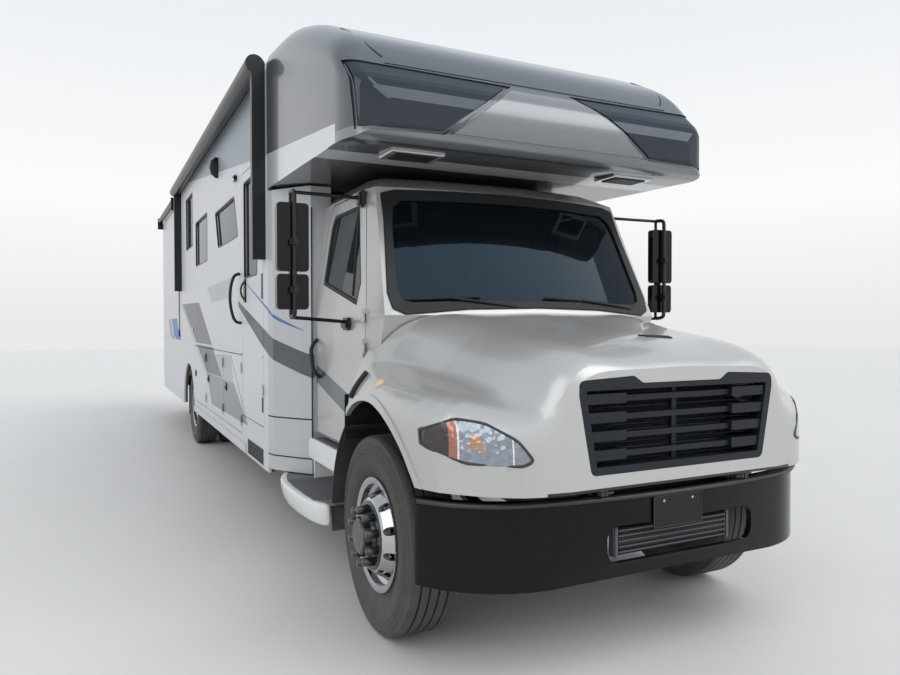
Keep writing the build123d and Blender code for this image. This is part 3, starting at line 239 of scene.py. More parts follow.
# Tyres: ribbed road tyres of black rubber, moulded with rings on the wall, grooves round the tread
# and a row of fine sipes on each shoulder. They are turned from one section.
TYRE_R = round((FRONT_TYRE[1][2] - FRONT_TYRE[0][2]) / 2, 3)
TYRE_HALF = 0.1395
BEAD_R = 0.286
SHOULDER_DROP = 0.028
WALL_STEPS = 60
WALL_RINGS = (5, 6, 10, 11, 12, 40, 41, 46, 47, 54, 55)
RING_HEIGHT = 0.003
GROOVES_X = (0.074, 0.025)
GROOVE_DEPTH = 0.014


def new_mesh(name, verts, faces, material, smooth=True):
    """A mesh object from its points and faces, with one material."""
    mesh = bpy.data.meshes.new(name)
    mesh.from_pydata([tuple(v) for v in verts], [], faces)
    mesh.validate()
    shape = bmesh.new()
    shape.from_mesh(mesh)
    bmesh.ops.remove_doubles(shape, verts=shape.verts, dist=1e-6)
    bmesh.ops.recalc_face_normals(shape, faces=shape.faces)
    shape.to_mesh(mesh)
    shape.free()
    mesh.materials.append(material)
    if smooth:
        mesh.shade_smooth()
    piece = bpy.data.objects.new(name, mesh)
    bpy.context.scene.collection.objects.link(piece)
    return piece


def turned(name, section, centre, steps, material, sharp=35):
    """A closed (x, radius) section turned about an X axis through centre."""
    verts, faces, count = [], [], len(section)
    for i in range(steps):
        a = 2 * math.pi * i / steps
        sine, cosine = math.sin(a), math.cos(a)
        verts += [(centre[0] + x, centre[1] + r * sine, centre[2] + r * cosine) for x, r in section]
    for i in range(steps):
        j = (i + 1) % steps
        faces += [(i * count + k, i * count + (k + 1) % count, j * count + (k + 1) % count, j * count + k)
                  for k in range(count)]
    piece = new_mesh(name, verts, faces, material)
    piece.data.set_sharp_from_angle(angle=math.radians(sharp))
    return piece


def tyre_section():
    """Half of the tyre from the bead over the wall and shoulder to the tread's middle, then its mirror."""
    bead, shoulder, tread = TYRE_HALF * 0.75, TYRE_HALF * 0.88, TYRE_HALF * 0.74
    low, high = BEAD_R + 0.02, TYRE_R - SHOULDER_DROP
    half = [(bead, BEAD_R), (bead, low)]
    for i in range(1, WALL_STEPS):
        t = i / WALL_STEPS
        bulge = (TYRE_HALF - RING_HEIGHT - (bead + shoulder) / 2) * math.sin(math.pi * t) ** 0.8
        ring = RING_HEIGHT if i in WALL_RINGS else 0
        x = bead + (shoulder - bead) * t + bulge + ring
        half.append((min(x, TYRE_HALF), low + t * (high - low)))
    half += [(shoulder, high), (shoulder - 0.001, TYRE_R - 0.012), (tread, TYRE_R)]
    for x in GROOVES_X:
        for wide, deep in ((0.006, 0), (0.004, GROOVE_DEPTH), (-0.004, GROOVE_DEPTH), (-0.006, 0)):
            half.append((x + wide, TYRE_R - deep))
    return half + [(-x, r) for x, r in reversed(half)]


tyre_rubber = finish("tyre_rubber", (0.034, 0.032, 0.03), 0.6, grain=16, shade=0.25, uneven=0.1, bump=0.0005,
                     bump_grain=500, dust=0.25)


def bake(piece):
    """Applies a piece's modifiers by taking the evaluated mesh, and leaves it a plain mesh."""
    view = bpy.context.evaluated_depsgraph_get()
    mesh = bpy.data.meshes.new_from_object(piece.evaluated_get(view))
    piece.modifiers.clear()
    piece.data = mesh
    return piece


def geometry_tree(name, sizes):
    """An empty Geometry Nodes tree with a geometry output and named number inputs."""
    tree = bpy.data.node_groups.new(name, "GeometryNodeTree")
    tree.interface.new_socket("Geometry", in_out="OUTPUT", socket_type="NodeSocketGeometry")
    for label, value in sizes.items():
        kind = "NodeSocketInt" if isinstance(value, int) else "NodeSocketFloat"
        tree.interface.new_socket(label, in_out="INPUT", socket_type=kind).default_value = value
    return tree, tree.nodes.new("NodeGroupInput").outputs, tree.nodes.new("NodeGroupOutput")


def from_tree(name, tree, sizes, move, body):
    """Runs a tree with its sizes, moves the result to its place and lets it ride on a body."""
    piece = bpy.data.objects.new(name, bpy.data.meshes.new(name))
    bpy.context.scene.collection.objects.link(piece)
    modifier = piece.modifiers.new("make", "NODES")
    modifier.node_group = tree
    for item in tree.interface.items_tree:
        if item.in_out == "INPUT" and item.name in sizes:
            modifier[item.identifier] = sizes[item.name]
    bake(piece)
    piece.data.transform(move)
    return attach(piece, body)


def stand_on(tree, points, shape, material, smooth, result):
    """Stands a shape on every point, as real copies with their shading and material."""
    copies = add(tree, "GeometryNodeInstanceOnPoints", {"Points": points, "Instance": shape})
    real = add(tree, "GeometryNodeRealizeInstances", {0: copies.outputs[0]})
    shaded = add(tree, "GeometryNodeSetShadeSmooth", {0: real.outputs[0], "Shade Smooth": smooth})
    coated = add(tree, "GeometryNodeSetMaterial", {0: shaded.outputs[0], "Material": material})
    tree.links.new(coated.outputs[0], result.inputs[0])


def ring_tree(name, material, taper, sides, smooth=True):
    """A ring of short round or flat-sided studs standing along X, at equal steps round the X axis."""
    tree, given, result = geometry_tree(name, {"Count": 10, "Ring": 0.14, "Size": 0.02, "Length": 0.05})
    circle = add(tree, "GeometryNodeMeshCircle", {"Vertices": given["Count"], "Radius": given["Ring"]})
    top = add(tree, "ShaderNodeMath", {0: given["Size"], 1: taper}, operation="MULTIPLY")
    stud = add(tree, "GeometryNodeMeshCone",
               {"Vertices": sides, "Radius Top": top.outputs[0], "Radius Bottom": given["Size"],
                "Depth": given["Length"]})
    stand_on(tree, circle.outputs["Mesh"], stud.outputs["Mesh"], material, smooth, result)
    return tree


SIDES = (("right", -1), ("left", 1))
FRONT_WHEEL_X = round(-(FRONT_TYRE[0][0] + FRONT_TYRE[1][0]) / 2, 4)
REAR_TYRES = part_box("rear_tyres_right")
REAR_Y = round((REAR_TYRES[0][1] + REAR_TYRES[1][1]) / 2, 3)
HALF_TYRE = (FRONT_TYRE[1][0] - FRONT_TYRE[0][0]) / 2
TWIN_X = (round(HALF_TYRE - REAR_TYRES[1][0], 3), round(-HALF_TYRE - REAR_TYRES[0][0], 3))
SIPES = {"Count": 150, "Ring": TYRE_R - 0.019, "Size": 0.0036, "Length": 0.0045}
SIPE_X = 0.1208
# The sipes are small near-black studs, darker than the tyre rubber: painted shade in the slits.
sipe_shade_black = finish("sipe_shade_black", (0.006, 0.006, 0.006), 0.8, grain=50, shade=0.2, shine=0.2)
shoulder_tree = ring_tree("shoulder_sipes", sipe_shade_black, 0.8, 4, False)
quarter_turn = Matrix.Rotation(math.radians(90), 4, "Y")
for side, sign in SIDES:
    tyres = [("front_tyre_" + side, "front_wheel_" + side, sign * FRONT_WHEEL_X, AXLE_Y, "_front")]
    tyres += [("rear_tyres_" + side, "rear_wheels_" + side, sign * x, REAR_Y, "_rear_%d" % i)
              for i, x in enumerate(TWIN_X)]
    for node, body, x, y, label in tyres:
        tyre = turned("tyre" + label + "_" + side, tyre_section(), (x, y, TYRE_R), 128, tyre_rubber)
        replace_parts(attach(tyre, body), node)
        for edge in (-1, 1):
            move = Matrix.Translation((x + edge * SIPE_X, y, TYRE_R)) @ quarter_turn
            end = "in" if edge * sign < 0 else "out"
            from_tree("tyre_sipes%s_%s_%s" % (label, side, end), shoulder_tree, SIPES, move, body)

# Wheels: polished forged aluminium discs on black hubs, with tall black covers on the front nuts
# and plain steel nuts behind.
polished = finish("polished_aluminium", (0.5, 0.505, 0.515), 0.14, 1.0, grain=20, shade=0.05, uneven=0.05,
                  dust=0.15)
dress(polished, "front_wheel_right", "front_wheel_left", "rear_wheels_right", "rear_wheels_left")
hub_black = finish("hub_black", (0.016, 0.016, 0.017), 0.28, grain=30, shade=0.2, coat=0.5)
nut_steel = finish("nut_steel", (0.5, 0.5, 0.51), 0.3, 0.9, grain=40, shade=0.15)
cover_tree = ring_tree("nut_covers", hub_black, 0.72, 20)
nut_tree = ring_tree("wheel_nuts", nut_steel, 0.9, 6, False)
NUT_RING = 0.1425
FRONT_FACE, REAR_FACE = FRONT_WHEEL_X + 0.15, TWIN_X[0] + 0.188
FRONT_NUTS = {"Count": 10, "Ring": NUT_RING, "Size": 0.0245, "Length": 0.066}
REAR_NUTS = {"Count": 10, "Ring": NUT_RING, "Size": 0.019, "Length": 0.03}
HUB_SECTION = ((-0.02, 0.0), (-0.02, 0.182), (0.004, 0.182), (0.008, 0.176), (0.008, 0.112), (0.02, 0.1),
               (0.058, 0.094), (0.066, 0.086), (0.068, 0.0))
for side, sign in SIDES:
    cap = [(sign * x, r) for x, r in HUB_SECTION]
    piece = turned("hub_cover_front_" + side, cap, (sign * FRONT_FACE, AXLE_Y, TYRE_R), 48, hub_black)
    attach(piece, "front_wheel_" + side)
    outward = quarter_turn if sign > 0 else Matrix.Rotation(math.radians(-90), 4, "Y")
    move = Matrix.Translation((sign * (FRONT_FACE + 0.002), AXLE_Y, TYRE_R)) @ outward
    from_tree("nut_covers_front_" + side, cover_tree, FRONT_NUTS, move, "front_wheel_" + side)
    move = Matrix.Translation((sign * REAR_FACE, REAR_Y, TYRE_R)) @ outward
    from_tree("wheel_nuts_rear_" + side, nut_tree, REAR_NUTS, move, "rear_wheels_" + side)

# Front bumper: one deep black moulding, glossy, with cooling fins behind its lower opening, a bare dark
# plate on two screws, and a satin bead rolled along its top edge from corner to corner.
gloss_black = finish("gloss_black", (0.003, 0.0035, 0.005), 0.16, grain=5, shade=0.15, uneven=0.04,
                     coat=0.06, dust=0.03, shine=0.16)
smoothed("front_bumper", "chassis", gloss_black)


def at(station):
    """The Y of a station, a distance behind the front axle."""
    return AXLE_Y + station


def softened(mesh_piece, width, segments=2):
    """Rounds a piece's sharp edges."""
    shape = bmesh.new()
    shape.from_mesh(mesh_piece.data)
    sharp = [edge for edge in shape.edges if len(edge.link_faces) == 2 and edge.calc_face_angle(0) > 0.6]
    bmesh.ops.bevel(shape, geom=sharp, offset=width, segments=segments, affect="EDGES", clamp_overlap=True)
    shape.to_mesh(mesh_piece.data)
    shape.free()
    mesh_piece.data.shade_smooth()
    mesh_piece.data.set_sharp_from_angle(angle=math.radians(40))
    return mesh_piece


def slab(name, x, s, z, material, body, edge=0.004):
    """A block between two X, two stations and two Z with rounded edges."""
    (x0, x1), (y0, y1), (z0, z1) = sorted(x), (at(s[0]), at(s[1])), z
    verts = [(a, b, c) for a in (x0, x1) for b in (y0, y1) for c in (z0, z1)]
    faces = [(0, 1, 3, 2), (4, 6, 7, 5), (0, 4, 5, 1), (2, 3, 7, 6), (0, 2, 6, 4), (1, 5, 7, 3)]
    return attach(softened(new_mesh(name, verts, faces, material), edge), body)


def bar(name, points, radius, material, body, closed=False, round_corners=True):
    """A round bar, tube or cord of rubber along points."""
    curve = bpy.data.curves.new(name, "CURVE")
    curve.dimensions = "3D"
    curve.bevel_depth, curve.bevel_resolution = radius, 2
    curve.use_fill_caps = not closed
    line = curve.splines.new("NURBS" if round_corners else "POLY")
    line.points.add(len(points) - 1)
    for spot, point in zip(line.points, points):
        spot.co = (*point, 1)
    line.use_cyclic_u = closed
    line.order_u = 3
    line.use_endpoint_u = not closed
    source = bpy.data.objects.new(name + "_line", curve)
    bpy.context.scene.collection.objects.link(source)
    mesh = bpy.data.meshes.new_from_object(source.evaluated_get(bpy.context.evaluated_depsgraph_get()))
    bpy.data.objects.remove(source)
    mesh.materials.clear()
    mesh.materials.append(material)
    mesh.shade_smooth()
    mesh.name = name
    piece = bpy.data.objects.new(name, mesh)
    bpy.context.scene.collection.objects.link(piece)
    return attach(piece, body)


def box_loop(wide, high):
    """The four corners of a box between two values of each axis of a plane."""
    return [(wide[0], high[0]), (wide[1], high[0]), (wide[1], high[1]), (wide[0], high[1])]


fin_metal = core_fins("cooler_fins", (0.035, 0.036, 0.038), 0.02)
tank_grey = finish("tank_ends", (0.1, 0.105, 0.115), 0.45, 0.5, grain=30, shade=0.12)
plate_black = finish("plate_black", (0.008, 0.008, 0.009), 0.4, grain=30, shade=0.1, shine=0.3)
satin_rim = finish("rim_black", (0.03, 0.03, 0.032), 0.4, grain=30, shade=0.1)
COOLER_TUBES, COOLER_PITCH = 5, 0.025
PLATE_FACE = -1.038
slab("cooler", (-0.32, 0.36), (-0.985, -0.95), (0.575, 0.7), fin_metal, "chassis", 0.002)
for i in range(COOLER_TUBES):
    z = 0.588 + i * COOLER_PITCH
    slab("cooler_tube_%d" % (i + 1), (-0.318, 0.358), (-0.99, -0.984), (z - 0.004, z + 0.004), tank_grey,
         "chassis", 0.002)
for label, x in (("right", -0.332), ("left", 0.372)):
    slab("cooler_tank_" + label, (x - 0.013, x + 0.013), (-0.992, -0.945), (0.566, 0.71), tank_grey,
         "chassis", 0.006)
slab("plate", (-0.152, 0.152), (PLATE_FACE, -1.0335), (0.69, 0.842), plate_black, "chassis", 0.0015)
plate_edge = [(x, at(PLATE_FACE - 0.0005), z) for x, z in box_loop((-0.149, 0.149), (0.693, 0.839))]
bar("plate_rim", plate_edge, 0.003, satin_rim, "chassis", True, False)
SCREW_HEAD = ((0, 0.0), (0, 0.007), (0.003, 0.006), (0.0045, 0.0))
forward = Matrix.Rotation(math.radians(-90), 4, "Z")
for side, sign in SIDES:
    screw = turned("plate_screw_" + side, SCREW_HEAD, (0, 0, 0), 16, nut_steel)
    screw.data.transform(Matrix.Translation((sign * 0.089, at(PLATE_FACE), 0.815)) @ forward)
    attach(screw, "chassis")
trees = {}


def hit(name, origin, direction):
    """Where a ray first meets a CAD node's surface, and the outward normal there."""
    if name not in trees:
        mesh = nodes[name].data
        trees[name] = BVHTree.FromPolygons([v.co for v in mesh.vertices], [p.vertices for p in mesh.polygons])
    place, normal, _, _ = trees[name].ray_cast(Vector(origin), Vector(direction))
    return place, normal


BUMPER_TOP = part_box("front_bumper")[1][2]
BEAD_POINTS, BEAD_TURN = 41, 76
bead = []
for i in range(BEAD_POINTS):
    turn = math.radians(2 * BEAD_TURN * i / (BEAD_POINTS - 1) - BEAD_TURN)
    away = Vector((math.sin(turn), -math.cos(turn), 0))
    spot, _ = hit("front_bumper", Vector((0, AXLE_Y, BUMPER_TOP - 0.02)) + away * 3, -away)
    if spot:
        bead.append(spot + Vector((0, 0, 0.006)))
bar("bumper_bead", bead, 0.012, satin_rim, "chassis")

# Grille: a charcoal moulded frame with four deep bars and thin cross tubes behind them. It is set in
# the hood's opening and tilts with the hood.
grille_grey = finish("grille_grey", (0.009, 0.012, 0.017), 0.42, shine=0.3, grain=20, shade=0.12,
                     bump=0.0003, bump_grain=900)
dress(grille_grey, "grille")
tube_black = finish("tube_black", (0.016, 0.018, 0.02), 0.5, shine=0.3, grain=25, shade=0.15)
GRILLE_TUBES, GRILLE_PITCH, GRILLE_LOW = 13, 0.027, 1.02
for i in range(GRILLE_TUBES):
    half, z = 0.53 + i * 0.0012, GRILLE_LOW + i * GRILLE_PITCH
    ends = [(-half, at(-0.982), z), (half, at(-0.982), z)]
    bar("grille_tube_%d" % (i + 1), ends, 0.0045, tube_black, "hood", False, False)

# Headlamps: a clear lens over crystal reflectors, with an amber outer part behind thin dividers and a dark
# rubber rim set in the hood.


def edge_test(tree, place, a, b, axes):
    """How far a shader point is inside the line from a to b, in the plane of two axes."""
    length = math.dist(a, b)
    normal = [0, 0, 0]
    normal[axes[0]], normal[axes[1]] = (a[1] - b[1]) / length, (b[0] - a[0]) / length
    dot = add(tree, "ShaderNodeVectorMath", {0: place, 1: normal}, operation="DOT_PRODUCT")
    offset = normal[axes[0]] * a[0] + normal[axes[1]] * a[1]
    return add(tree, "ShaderNodeMath", {0: dot.outputs["Value"], 1: offset}, operation="SUBTRACT").outputs[0]


def inside(tree, place, outline, axes=(1, 2), soft=0.0006):
    """A mask that is 1 inside a convex outline given anticlockwise in the plane of two axes."""
    least = None
    for a, b in zip(outline, outline[1:] + outline[:1]):
        away = edge_test(tree, place, a, b, axes)
        if least is None:
            least = away
        else:
            least = add(tree, "ShaderNodeMath", {0: least, 1: away}, operation="MINIMUM").outputs[0]
    return add(tree, "ShaderNodeMapRange", {"Value": least, "From Min": -soft, "From Max": soft}).outputs[0]


ARCH_Z = 0.5


def round_mask(tree, place, radius):
    """A mask that is 1 nearer to the front wheel arch's centre than a radius."""
    flat = add(tree, "ShaderNodeVectorMath", {0: place, 1: (0, 1, 1)}, operation="MULTIPLY")
    away = add(tree, "ShaderNodeVectorMath", {0: flat.outputs[0], 1: (0, AXLE_Y, ARCH_Z)},
               operation="DISTANCE")
    return add(tree, "ShaderNodeMapRange", {"Value": away.outputs["Value"], "From Min": radius + 0.001,
                                            "From Max": radius}).outputs[0]


def object_place(tree):
    """The socket that gives a finish the place of a point in the shared frame."""
    return next(n for n in tree.nodes if n.type == "TEX_COORD").outputs["Object"]


def cellular(material, scale, distance, strength):
    """Raises a finish in small cells: cut reflectors when they are coarse, metal flakes when fine."""
    tree = material.node_tree
    cells = add(tree, "ShaderNodeTexVoronoi", {"Vector": object_place(tree), "Scale": scale})
    raise_surface(tree, cells.outputs["Distance"], distance, strength)


def paint(material, outline, colour, axes=(1, 2), strength=1.0, radius=0.0):
    """Paints a convex area of a finish in another colour, over what is there."""
    tree = material.node_tree
    place = object_place(tree)
    shader = tree.nodes["Principled BSDF"]
    below = shader.inputs["Base Color"].links[0].from_socket
    area = sum(a[0] * b[1] - b[0] * a[1] for a, b in zip(outline, outline[1:] + outline[:1]))
    mask = inside(tree, place, outline if area > 0 else outline[::-1], axes)
    limit = round_mask(tree, place, radius) if radius else strength
    part = add(tree, "ShaderNodeMath", {0: mask, 1: limit}, operation="MULTIPLY")
    mix = add(tree, "ShaderNodeMix", {0: part.outputs[0], 6: below, 7: (*colour, 1)}, data_type="RGBA")
    tree.links.new(mix.outputs[2], shader.inputs["Base Color"])


lens_clear = finish("lens_clear", (0.27, 0.3, 0.35), 0.1, 0.7, 1.0, grain=30, shade=0.5)
cellular(lens_clear, 34.0, 0.012, 0.5)
AMBER_FROM, DARK_FROM, LENS_END = 1.068, 1.1, 1.3
LENS_Z = (1.0, 1.3)
LENS_AMBER, BULB_GLOW = (0.42, 0.12, 0.03), (0.6, 0.26, 0.05)
LENS_DARK, DIVIDER_WHITE = (0.018, 0.021, 0.026), (0.8, 0.82, 0.85)
BULB = ((0.985, 1.1), (1.04, 1.11), (1.03, 1.165), (1.0, 1.17))
DIVIDERS_X, DIVIDER_WIDTH = (0.885, AMBER_FROM), 0.006
for sign in (-1, 1):
    paint(lens_clear, box_loop((sign * AMBER_FROM, sign * LENS_END), LENS_Z), LENS_AMBER, (0, 2), 0.75)
    paint(lens_clear, [(sign * x, z) for x, z in BULB], BULB_GLOW, (0, 2), 0.55)
    paint(lens_clear, box_loop((sign * DARK_FROM, sign * LENS_END), LENS_Z), LENS_DARK, (0, 2), 0.95)
    for x in DIVIDERS_X:
        paint(lens_clear, box_loop((sign * x, sign * (x + DIVIDER_WIDTH)), LENS_Z), DIVIDER_WHITE, (0, 2))
dress(lens_clear, "headlamps")
LAMP_OUTLINE = ((0.808, 1.061), (0.869, 1.147), (0.976, 1.218), (1.074, 1.234), (1.17, 1.178), (1.17, 1.102),
                (1.049, 1.043), (0.852, 1.039))


def rounded_loop(outline, radius, steps=5):
    """An outline with its corners turned into small arcs."""
    made = []
    for before, corner, after in zip(outline[-1:] + outline[:-1], outline, outline[1:] + outline[:1]):
        a, b, c = Vector(before), Vector(corner), Vector(after)
        start = b + (a - b).normalized() * radius
        end = b + (c - b).normalized() * radius
        for i in range(steps + 1):
            t = i / steps
            made.append(tuple(start * (1 - t) ** 2 + b * 2 * t * (1 - t) + end * t * t))
    return made


def between(a, b, count):
    """Points from a to b, without b."""
    return [tuple(p + (q - p) * i / count for p, q in zip(a, b)) for i in range(count)]


FAR = 9.0


def loop_on(outline, node, direction, axes, raise_by=0.0, parts=5):
    """The points of a closed outline thrown on to a CAD node along a direction."""
    points = []
    for a, b in zip(outline, outline[1:] + outline[:1]):
        for p in between(a, b, parts):
            origin = [-FAR * d for d in direction]
            origin[axes[0]], origin[axes[1]] = p
            found, _ = hit(node, origin, direction)
            if found:
                points.append(found - Vector(direction) * raise_by)
    return points


for side, sign in SIDES:
    outline = rounded_loop([(sign * x, z) for x, z in LAMP_OUTLINE], 0.02, 3)
    rim = loop_on(outline, "headlamps", (0, 1, 0), (0, 2), 0.001, 1)
    bar("lamp_rim_" + side, rim, 0.0065, satin_rim, "hood", True)

# Hood: one-piece moulding in pearl silver metallic paint under clear coat, with rubber latches, a round
# marker lamp on each side and a small black vent.
pearl_silver = finish("pearl_silver", (0.5, 0.5, 0.49), 0.34, 0.4, 0.5, grain=2.5, shade=0.03, uneven=0.04)
cellular(pearl_silver, 1800.0, 0.00005, 0.25)
cab_silver = pearl_silver.copy()
cab_silver.name = "cab_silver"
# A near-black used as painted shade in the front wheel arches and under the hood's front edge, and as the
# arch liner's colour.
SHADE_AND_LINER_DARK = (0.014, 0.014, 0.015)
LINER_X, LINER_R, HINGE_LUG_TOP = 1.145, 0.768, 0.918
# Inside the front wheel arch the hood is painted near-black: partly the black inner liner, partly painted
# shade deep in the arch.
paint(pearl_silver, box_loop((-LINER_X, LINER_X), (0.3, 1.4)), SHADE_AND_LINER_DARK, (0, 2), radius=LINER_R)
# The hinge lugs under the hood's front edge are painted near-black as well: painted shade under the hood.
paint(pearl_silver, box_loop((-0.75, 0.75), (0.4, HINGE_LUG_TOP)), SHADE_AND_LINER_DARK, (0, 2))
smoothed("hood", "hood", pearl_silver)
rubber_black = finish("rubber_black", (0.012, 0.012, 0.013), 0.5, grain=40, shade=0.2, bump=0.0003,
                      bump_grain=700, shine=0.35)
amber_lens = finish("amber_lens", (0.72, 0.5, 0.3), 0.15, coat=1.0, grain=60, shade=0.2)
MARKER_SECTION = ((-0.004, 0.0), (-0.004, 0.031), (0.006, 0.031), (0.01, 0.026), (0.016, 0.016), (0.018, 0.0))
LATCH_LINE = ((0.31, 1.235), (0.28, 1.28), (0.245, 1.33), (0.215, 1.375))
VENT_OUTLINE = ((0.06, -0.69), (0.25, -0.7), (0.24, -0.735), (0.09, -0.72))


def beside(node, sign, station, z):
    """The point of a CAD node that is seen first from the side, and the normal there."""
    return hit(node, (sign * 3, at(station), z), (-sign, 0, 0))


for side, sign in SIDES:
    spot, normal = beside("hood", sign, -0.05, 1.335)
    lamp = turned("marker_lamp_" + side, MARKER_SECTION, (0, 0, 0), 28, amber_lens)
    outward = Vector((1, 0, 0)).rotation_difference(normal).to_matrix().to_4x4()
    lamp.data.transform(Matrix.Translation(spot) @ outward)
    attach(lamp, "hood")
    grip = [beside("hood", sign, s, z)[0] + Vector((sign * 0.008, 0, 0)) for s, z in LATCH_LINE]
    bar("hood_latch_" + side, grip, 0.019, rubber_black, "hood")
vent = [hit("hood", (x, at(s), 3), (0, 0, -1))[0] for x, s in VENT_OUTLINE]
bar("hood_vent", vent, 0.007, rubber_black, "hood", True, False)

# Cab: pressed doors and roof in the same paint, glass edged in black, a wide rubber surround on the
# windshield, rubber round the door panes, wipers and pull handles.
# The cab's side low down behind the wheel arch is painted near-black: painted shade behind the arch.
paint(cab_silver, box_loop((at(-0.1), at(0.64)), (0.7, 1.27)), SHADE_AND_LINER_DARK)
smoothed("cab_shell", "chassis", cab_silver)


def glass(name, colour, rough=0.02, alpha=0.35):
    """Tinted glass that shows the dark inside and reflects the surround."""
    material = finish(name, colour, rough, 0.0, 0.0, grain=3, shade=0.15, uneven=0.01, shine=0.3)
    material.node_tree.nodes["Principled BSDF"].inputs["Alpha"].default_value = alpha
    return material


def edged(material, outline, axes, alpha):
    """Makes the band of a glass outside an outline opaque black."""
    tree = material.node_tree
    mask = inside(tree, object_place(tree), outline, axes, 0.001)
    clear = add(tree, "ShaderNodeMapRange", {"Value": mask, "To Min": 1.0, "To Max": alpha})
    tree.links.new(clear.outputs[0], tree.nodes["Principled BSDF"].inputs["Alpha"])


screen_glass = glass("screen_glass", (0.004, 0.006, 0.008))
screen_glass.node_tree.nodes["Principled BSDF"].inputs["Specular Tint"].default_value = (0.35, 0.6, 0.85, 1)
SCREEN_CLEAR = [(-0.905, 1.79), (0.905, 1.79), (0.835, 2.4), (-0.835, 2.4)]
edged(screen_glass, SCREEN_CLEAR, (0, 2), 0.84)
dress(screen_glass, "windshield")
dress(glass("door_glass", (0.02, 0.03, 0.034), alpha=0.72), "door_glass_left", "door_glass_right")
SCREEN_OUTER = ((0.0, 1.746), (0.48, 1.736), (0.87, 1.703), (0.942, 1.737), (0.958, 1.83), (0.9, 2.28),
                (0.89, 2.46), (0.8, 2.484), (0.4, 2.494), (0.0, 2.498))
SCREEN_INNER = ((0.0, 1.79), (0.48, 1.786), (0.82, 1.775), (0.878, 1.802), (0.89, 1.87), (0.85, 2.25),
                (0.825, 2.365), (0.765, 2.412), (0.4, 2.424), (0.0, 2.428))


def with_mirror(half):
    """A closed outline from its half at positive X, which starts and ends in the middle."""
    return half + tuple((-x, z) for x, z in half[-2:0:-1])


def frame_faces(count):
    """The faces of a closed frame whose four long edges are loops of equally many points."""
    faces = []
    for loop in range(4):
        for i in range(count):
            j, up = (i + 1) % count, (loop + 1) % 4
            faces.append((loop * count + i, loop * count + j, up * count + j, up * count + i))
    return faces


outer_front = loop_on(with_mirror(SCREEN_OUTER), "cab_shell", (0, 1, 0), (0, 2), 0.012, 4)
inner_front = loop_on(with_mirror(SCREEN_INNER), "windshield", (0, 1, 0), (0, 2), 0.014, 4)
back = Vector((0, 0.02, 0))
ring = outer_front + inner_front + [p + back for p in inner_front] + [p + back for p in outer_front]
surround = new_mesh("screen_rubber", ring, frame_faces(len(outer_front)), rubber_black)
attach(softened(surround, 0.004), "chassis")


def on_screen(x, z, ahead):
    """A point a little in front of the windshield."""
    return hit("windshield", (x, at(-3), z), (0, 1, 0))[0] - Vector((0, ahead, 0))


WIPERS = (("right", (-0.86, 1.79), (-0.3, 1.815), -0.16), ("left", (0.06, 1.812), (0.66, 1.785), 0.78))
for label, start, stop, pivot_x in WIPERS:
    blade = [on_screen(x, z, 0.016) for x, z in between(start, stop, 6)]
    bar("wiper_blade_" + label, blade, 0.0065, rubber_black, "chassis")
    root = on_screen(pivot_x, 1.77, 0.03) - Vector((0, 0, 0.02))
    elbow = (root + blade[3]) / 2 + Vector((0, -0.018, 0.004))
    tip = blade[3] + Vector((0, -0.006, 0))
    bar("wiper_arm_" + label, [root, elbow, tip], 0.008, rubber_black, "chassis")
door_silver = cab_silver.copy()
door_silver.name = "door_silver"
dress(door_silver, "cab_door_left", "cab_door_right")
STRIPE_GREY = (0.085, 0.095, 0.11)
paint(door_silver, [(at(0.62), 1.02), (at(1.56), 1.245), (at(1.56), 1.37), (at(0.62), 1.165)], STRIPE_GREY)
DOOR_PANE = ((0.652, 1.778), (1.395, 1.94), (1.322, 2.325), (1.263, 2.395), (0.765, 2.395), (0.602, 1.904))
DIVIDER_LINE = ((0.79, 2.37), (0.775, 2.1), (0.76, 1.83))
PULL_LINE = ((1.4, 1.27, 0.002), (1.4, 1.3, 0.05), (1.44, 1.42, 0.058), (1.46, 1.5, 0.05),
             (1.47, 1.54, 0.002))
for side, sign in SIDES:
    door = "cab_door_" + side
    pane = [(at(s), z) for s, z in DOOR_PANE]
    points = loop_on(rounded_loop(pane, 0.045), "door_glass_" + side, (-sign, 0, 0), (1, 2), -0.003, 2)
    bar("pane_rubber_" + side, points, 0.015, rubber_black, door, True)
    line = [beside("door_glass_" + side, sign, s, z)[0] for s, z in DIVIDER_LINE]
    bar("pane_divider_" + side, line, 0.008, rubber_black, door)
    grip = [beside(door, sign, s, z)[0] + Vector((sign * out, 0, 0)) for s, z, out in PULL_LINE]
    bar("door_pull_" + side, grip, 0.014, rubber_black, door)

# Mirrors: satin black shells on tube arms, silvered glass set in their rear faces. Each is clamped to a
# tube guard whose feet are fixed to the cab door, so it swings with the door.
satin_black = finish("satin_black", (0.009, 0.009, 0.01), 0.3, grain=16, shade=0.15, bump=0.0002,
                     bump_grain=800, shine=0.4)
mirror_black = finish("mirror_black", (0.006, 0.006, 0.007), 0.14, coat=0.1, grain=9, shade=0.15, shine=0.25)
for side, sign in SIDES:
    smoothed("mirror_" + side, "cab_door_" + side, mirror_black, 40)
silvered = finish("silvered_glass", (0.8, 0.82, 0.84), 0.03, 1.0, grain=5, shade=0.02, uneven=0.01)
MIRROR_PANES = (("tall", 1.985, 2.34, 0.07), ("small", 1.755, 1.925, 0.064))
GUARD_X, GUARD_S, FOOT_S = 1.42, 0.588, 0.675
GUARD_LINE = ((FOOT_S, 2.44), (GUARD_S + 0.01, 2.44), (GUARD_S, 2.4), (GUARD_S, 2.05), (GUARD_S, 1.73),
              (GUARD_S + 0.01, 1.692), (FOOT_S, 1.69))
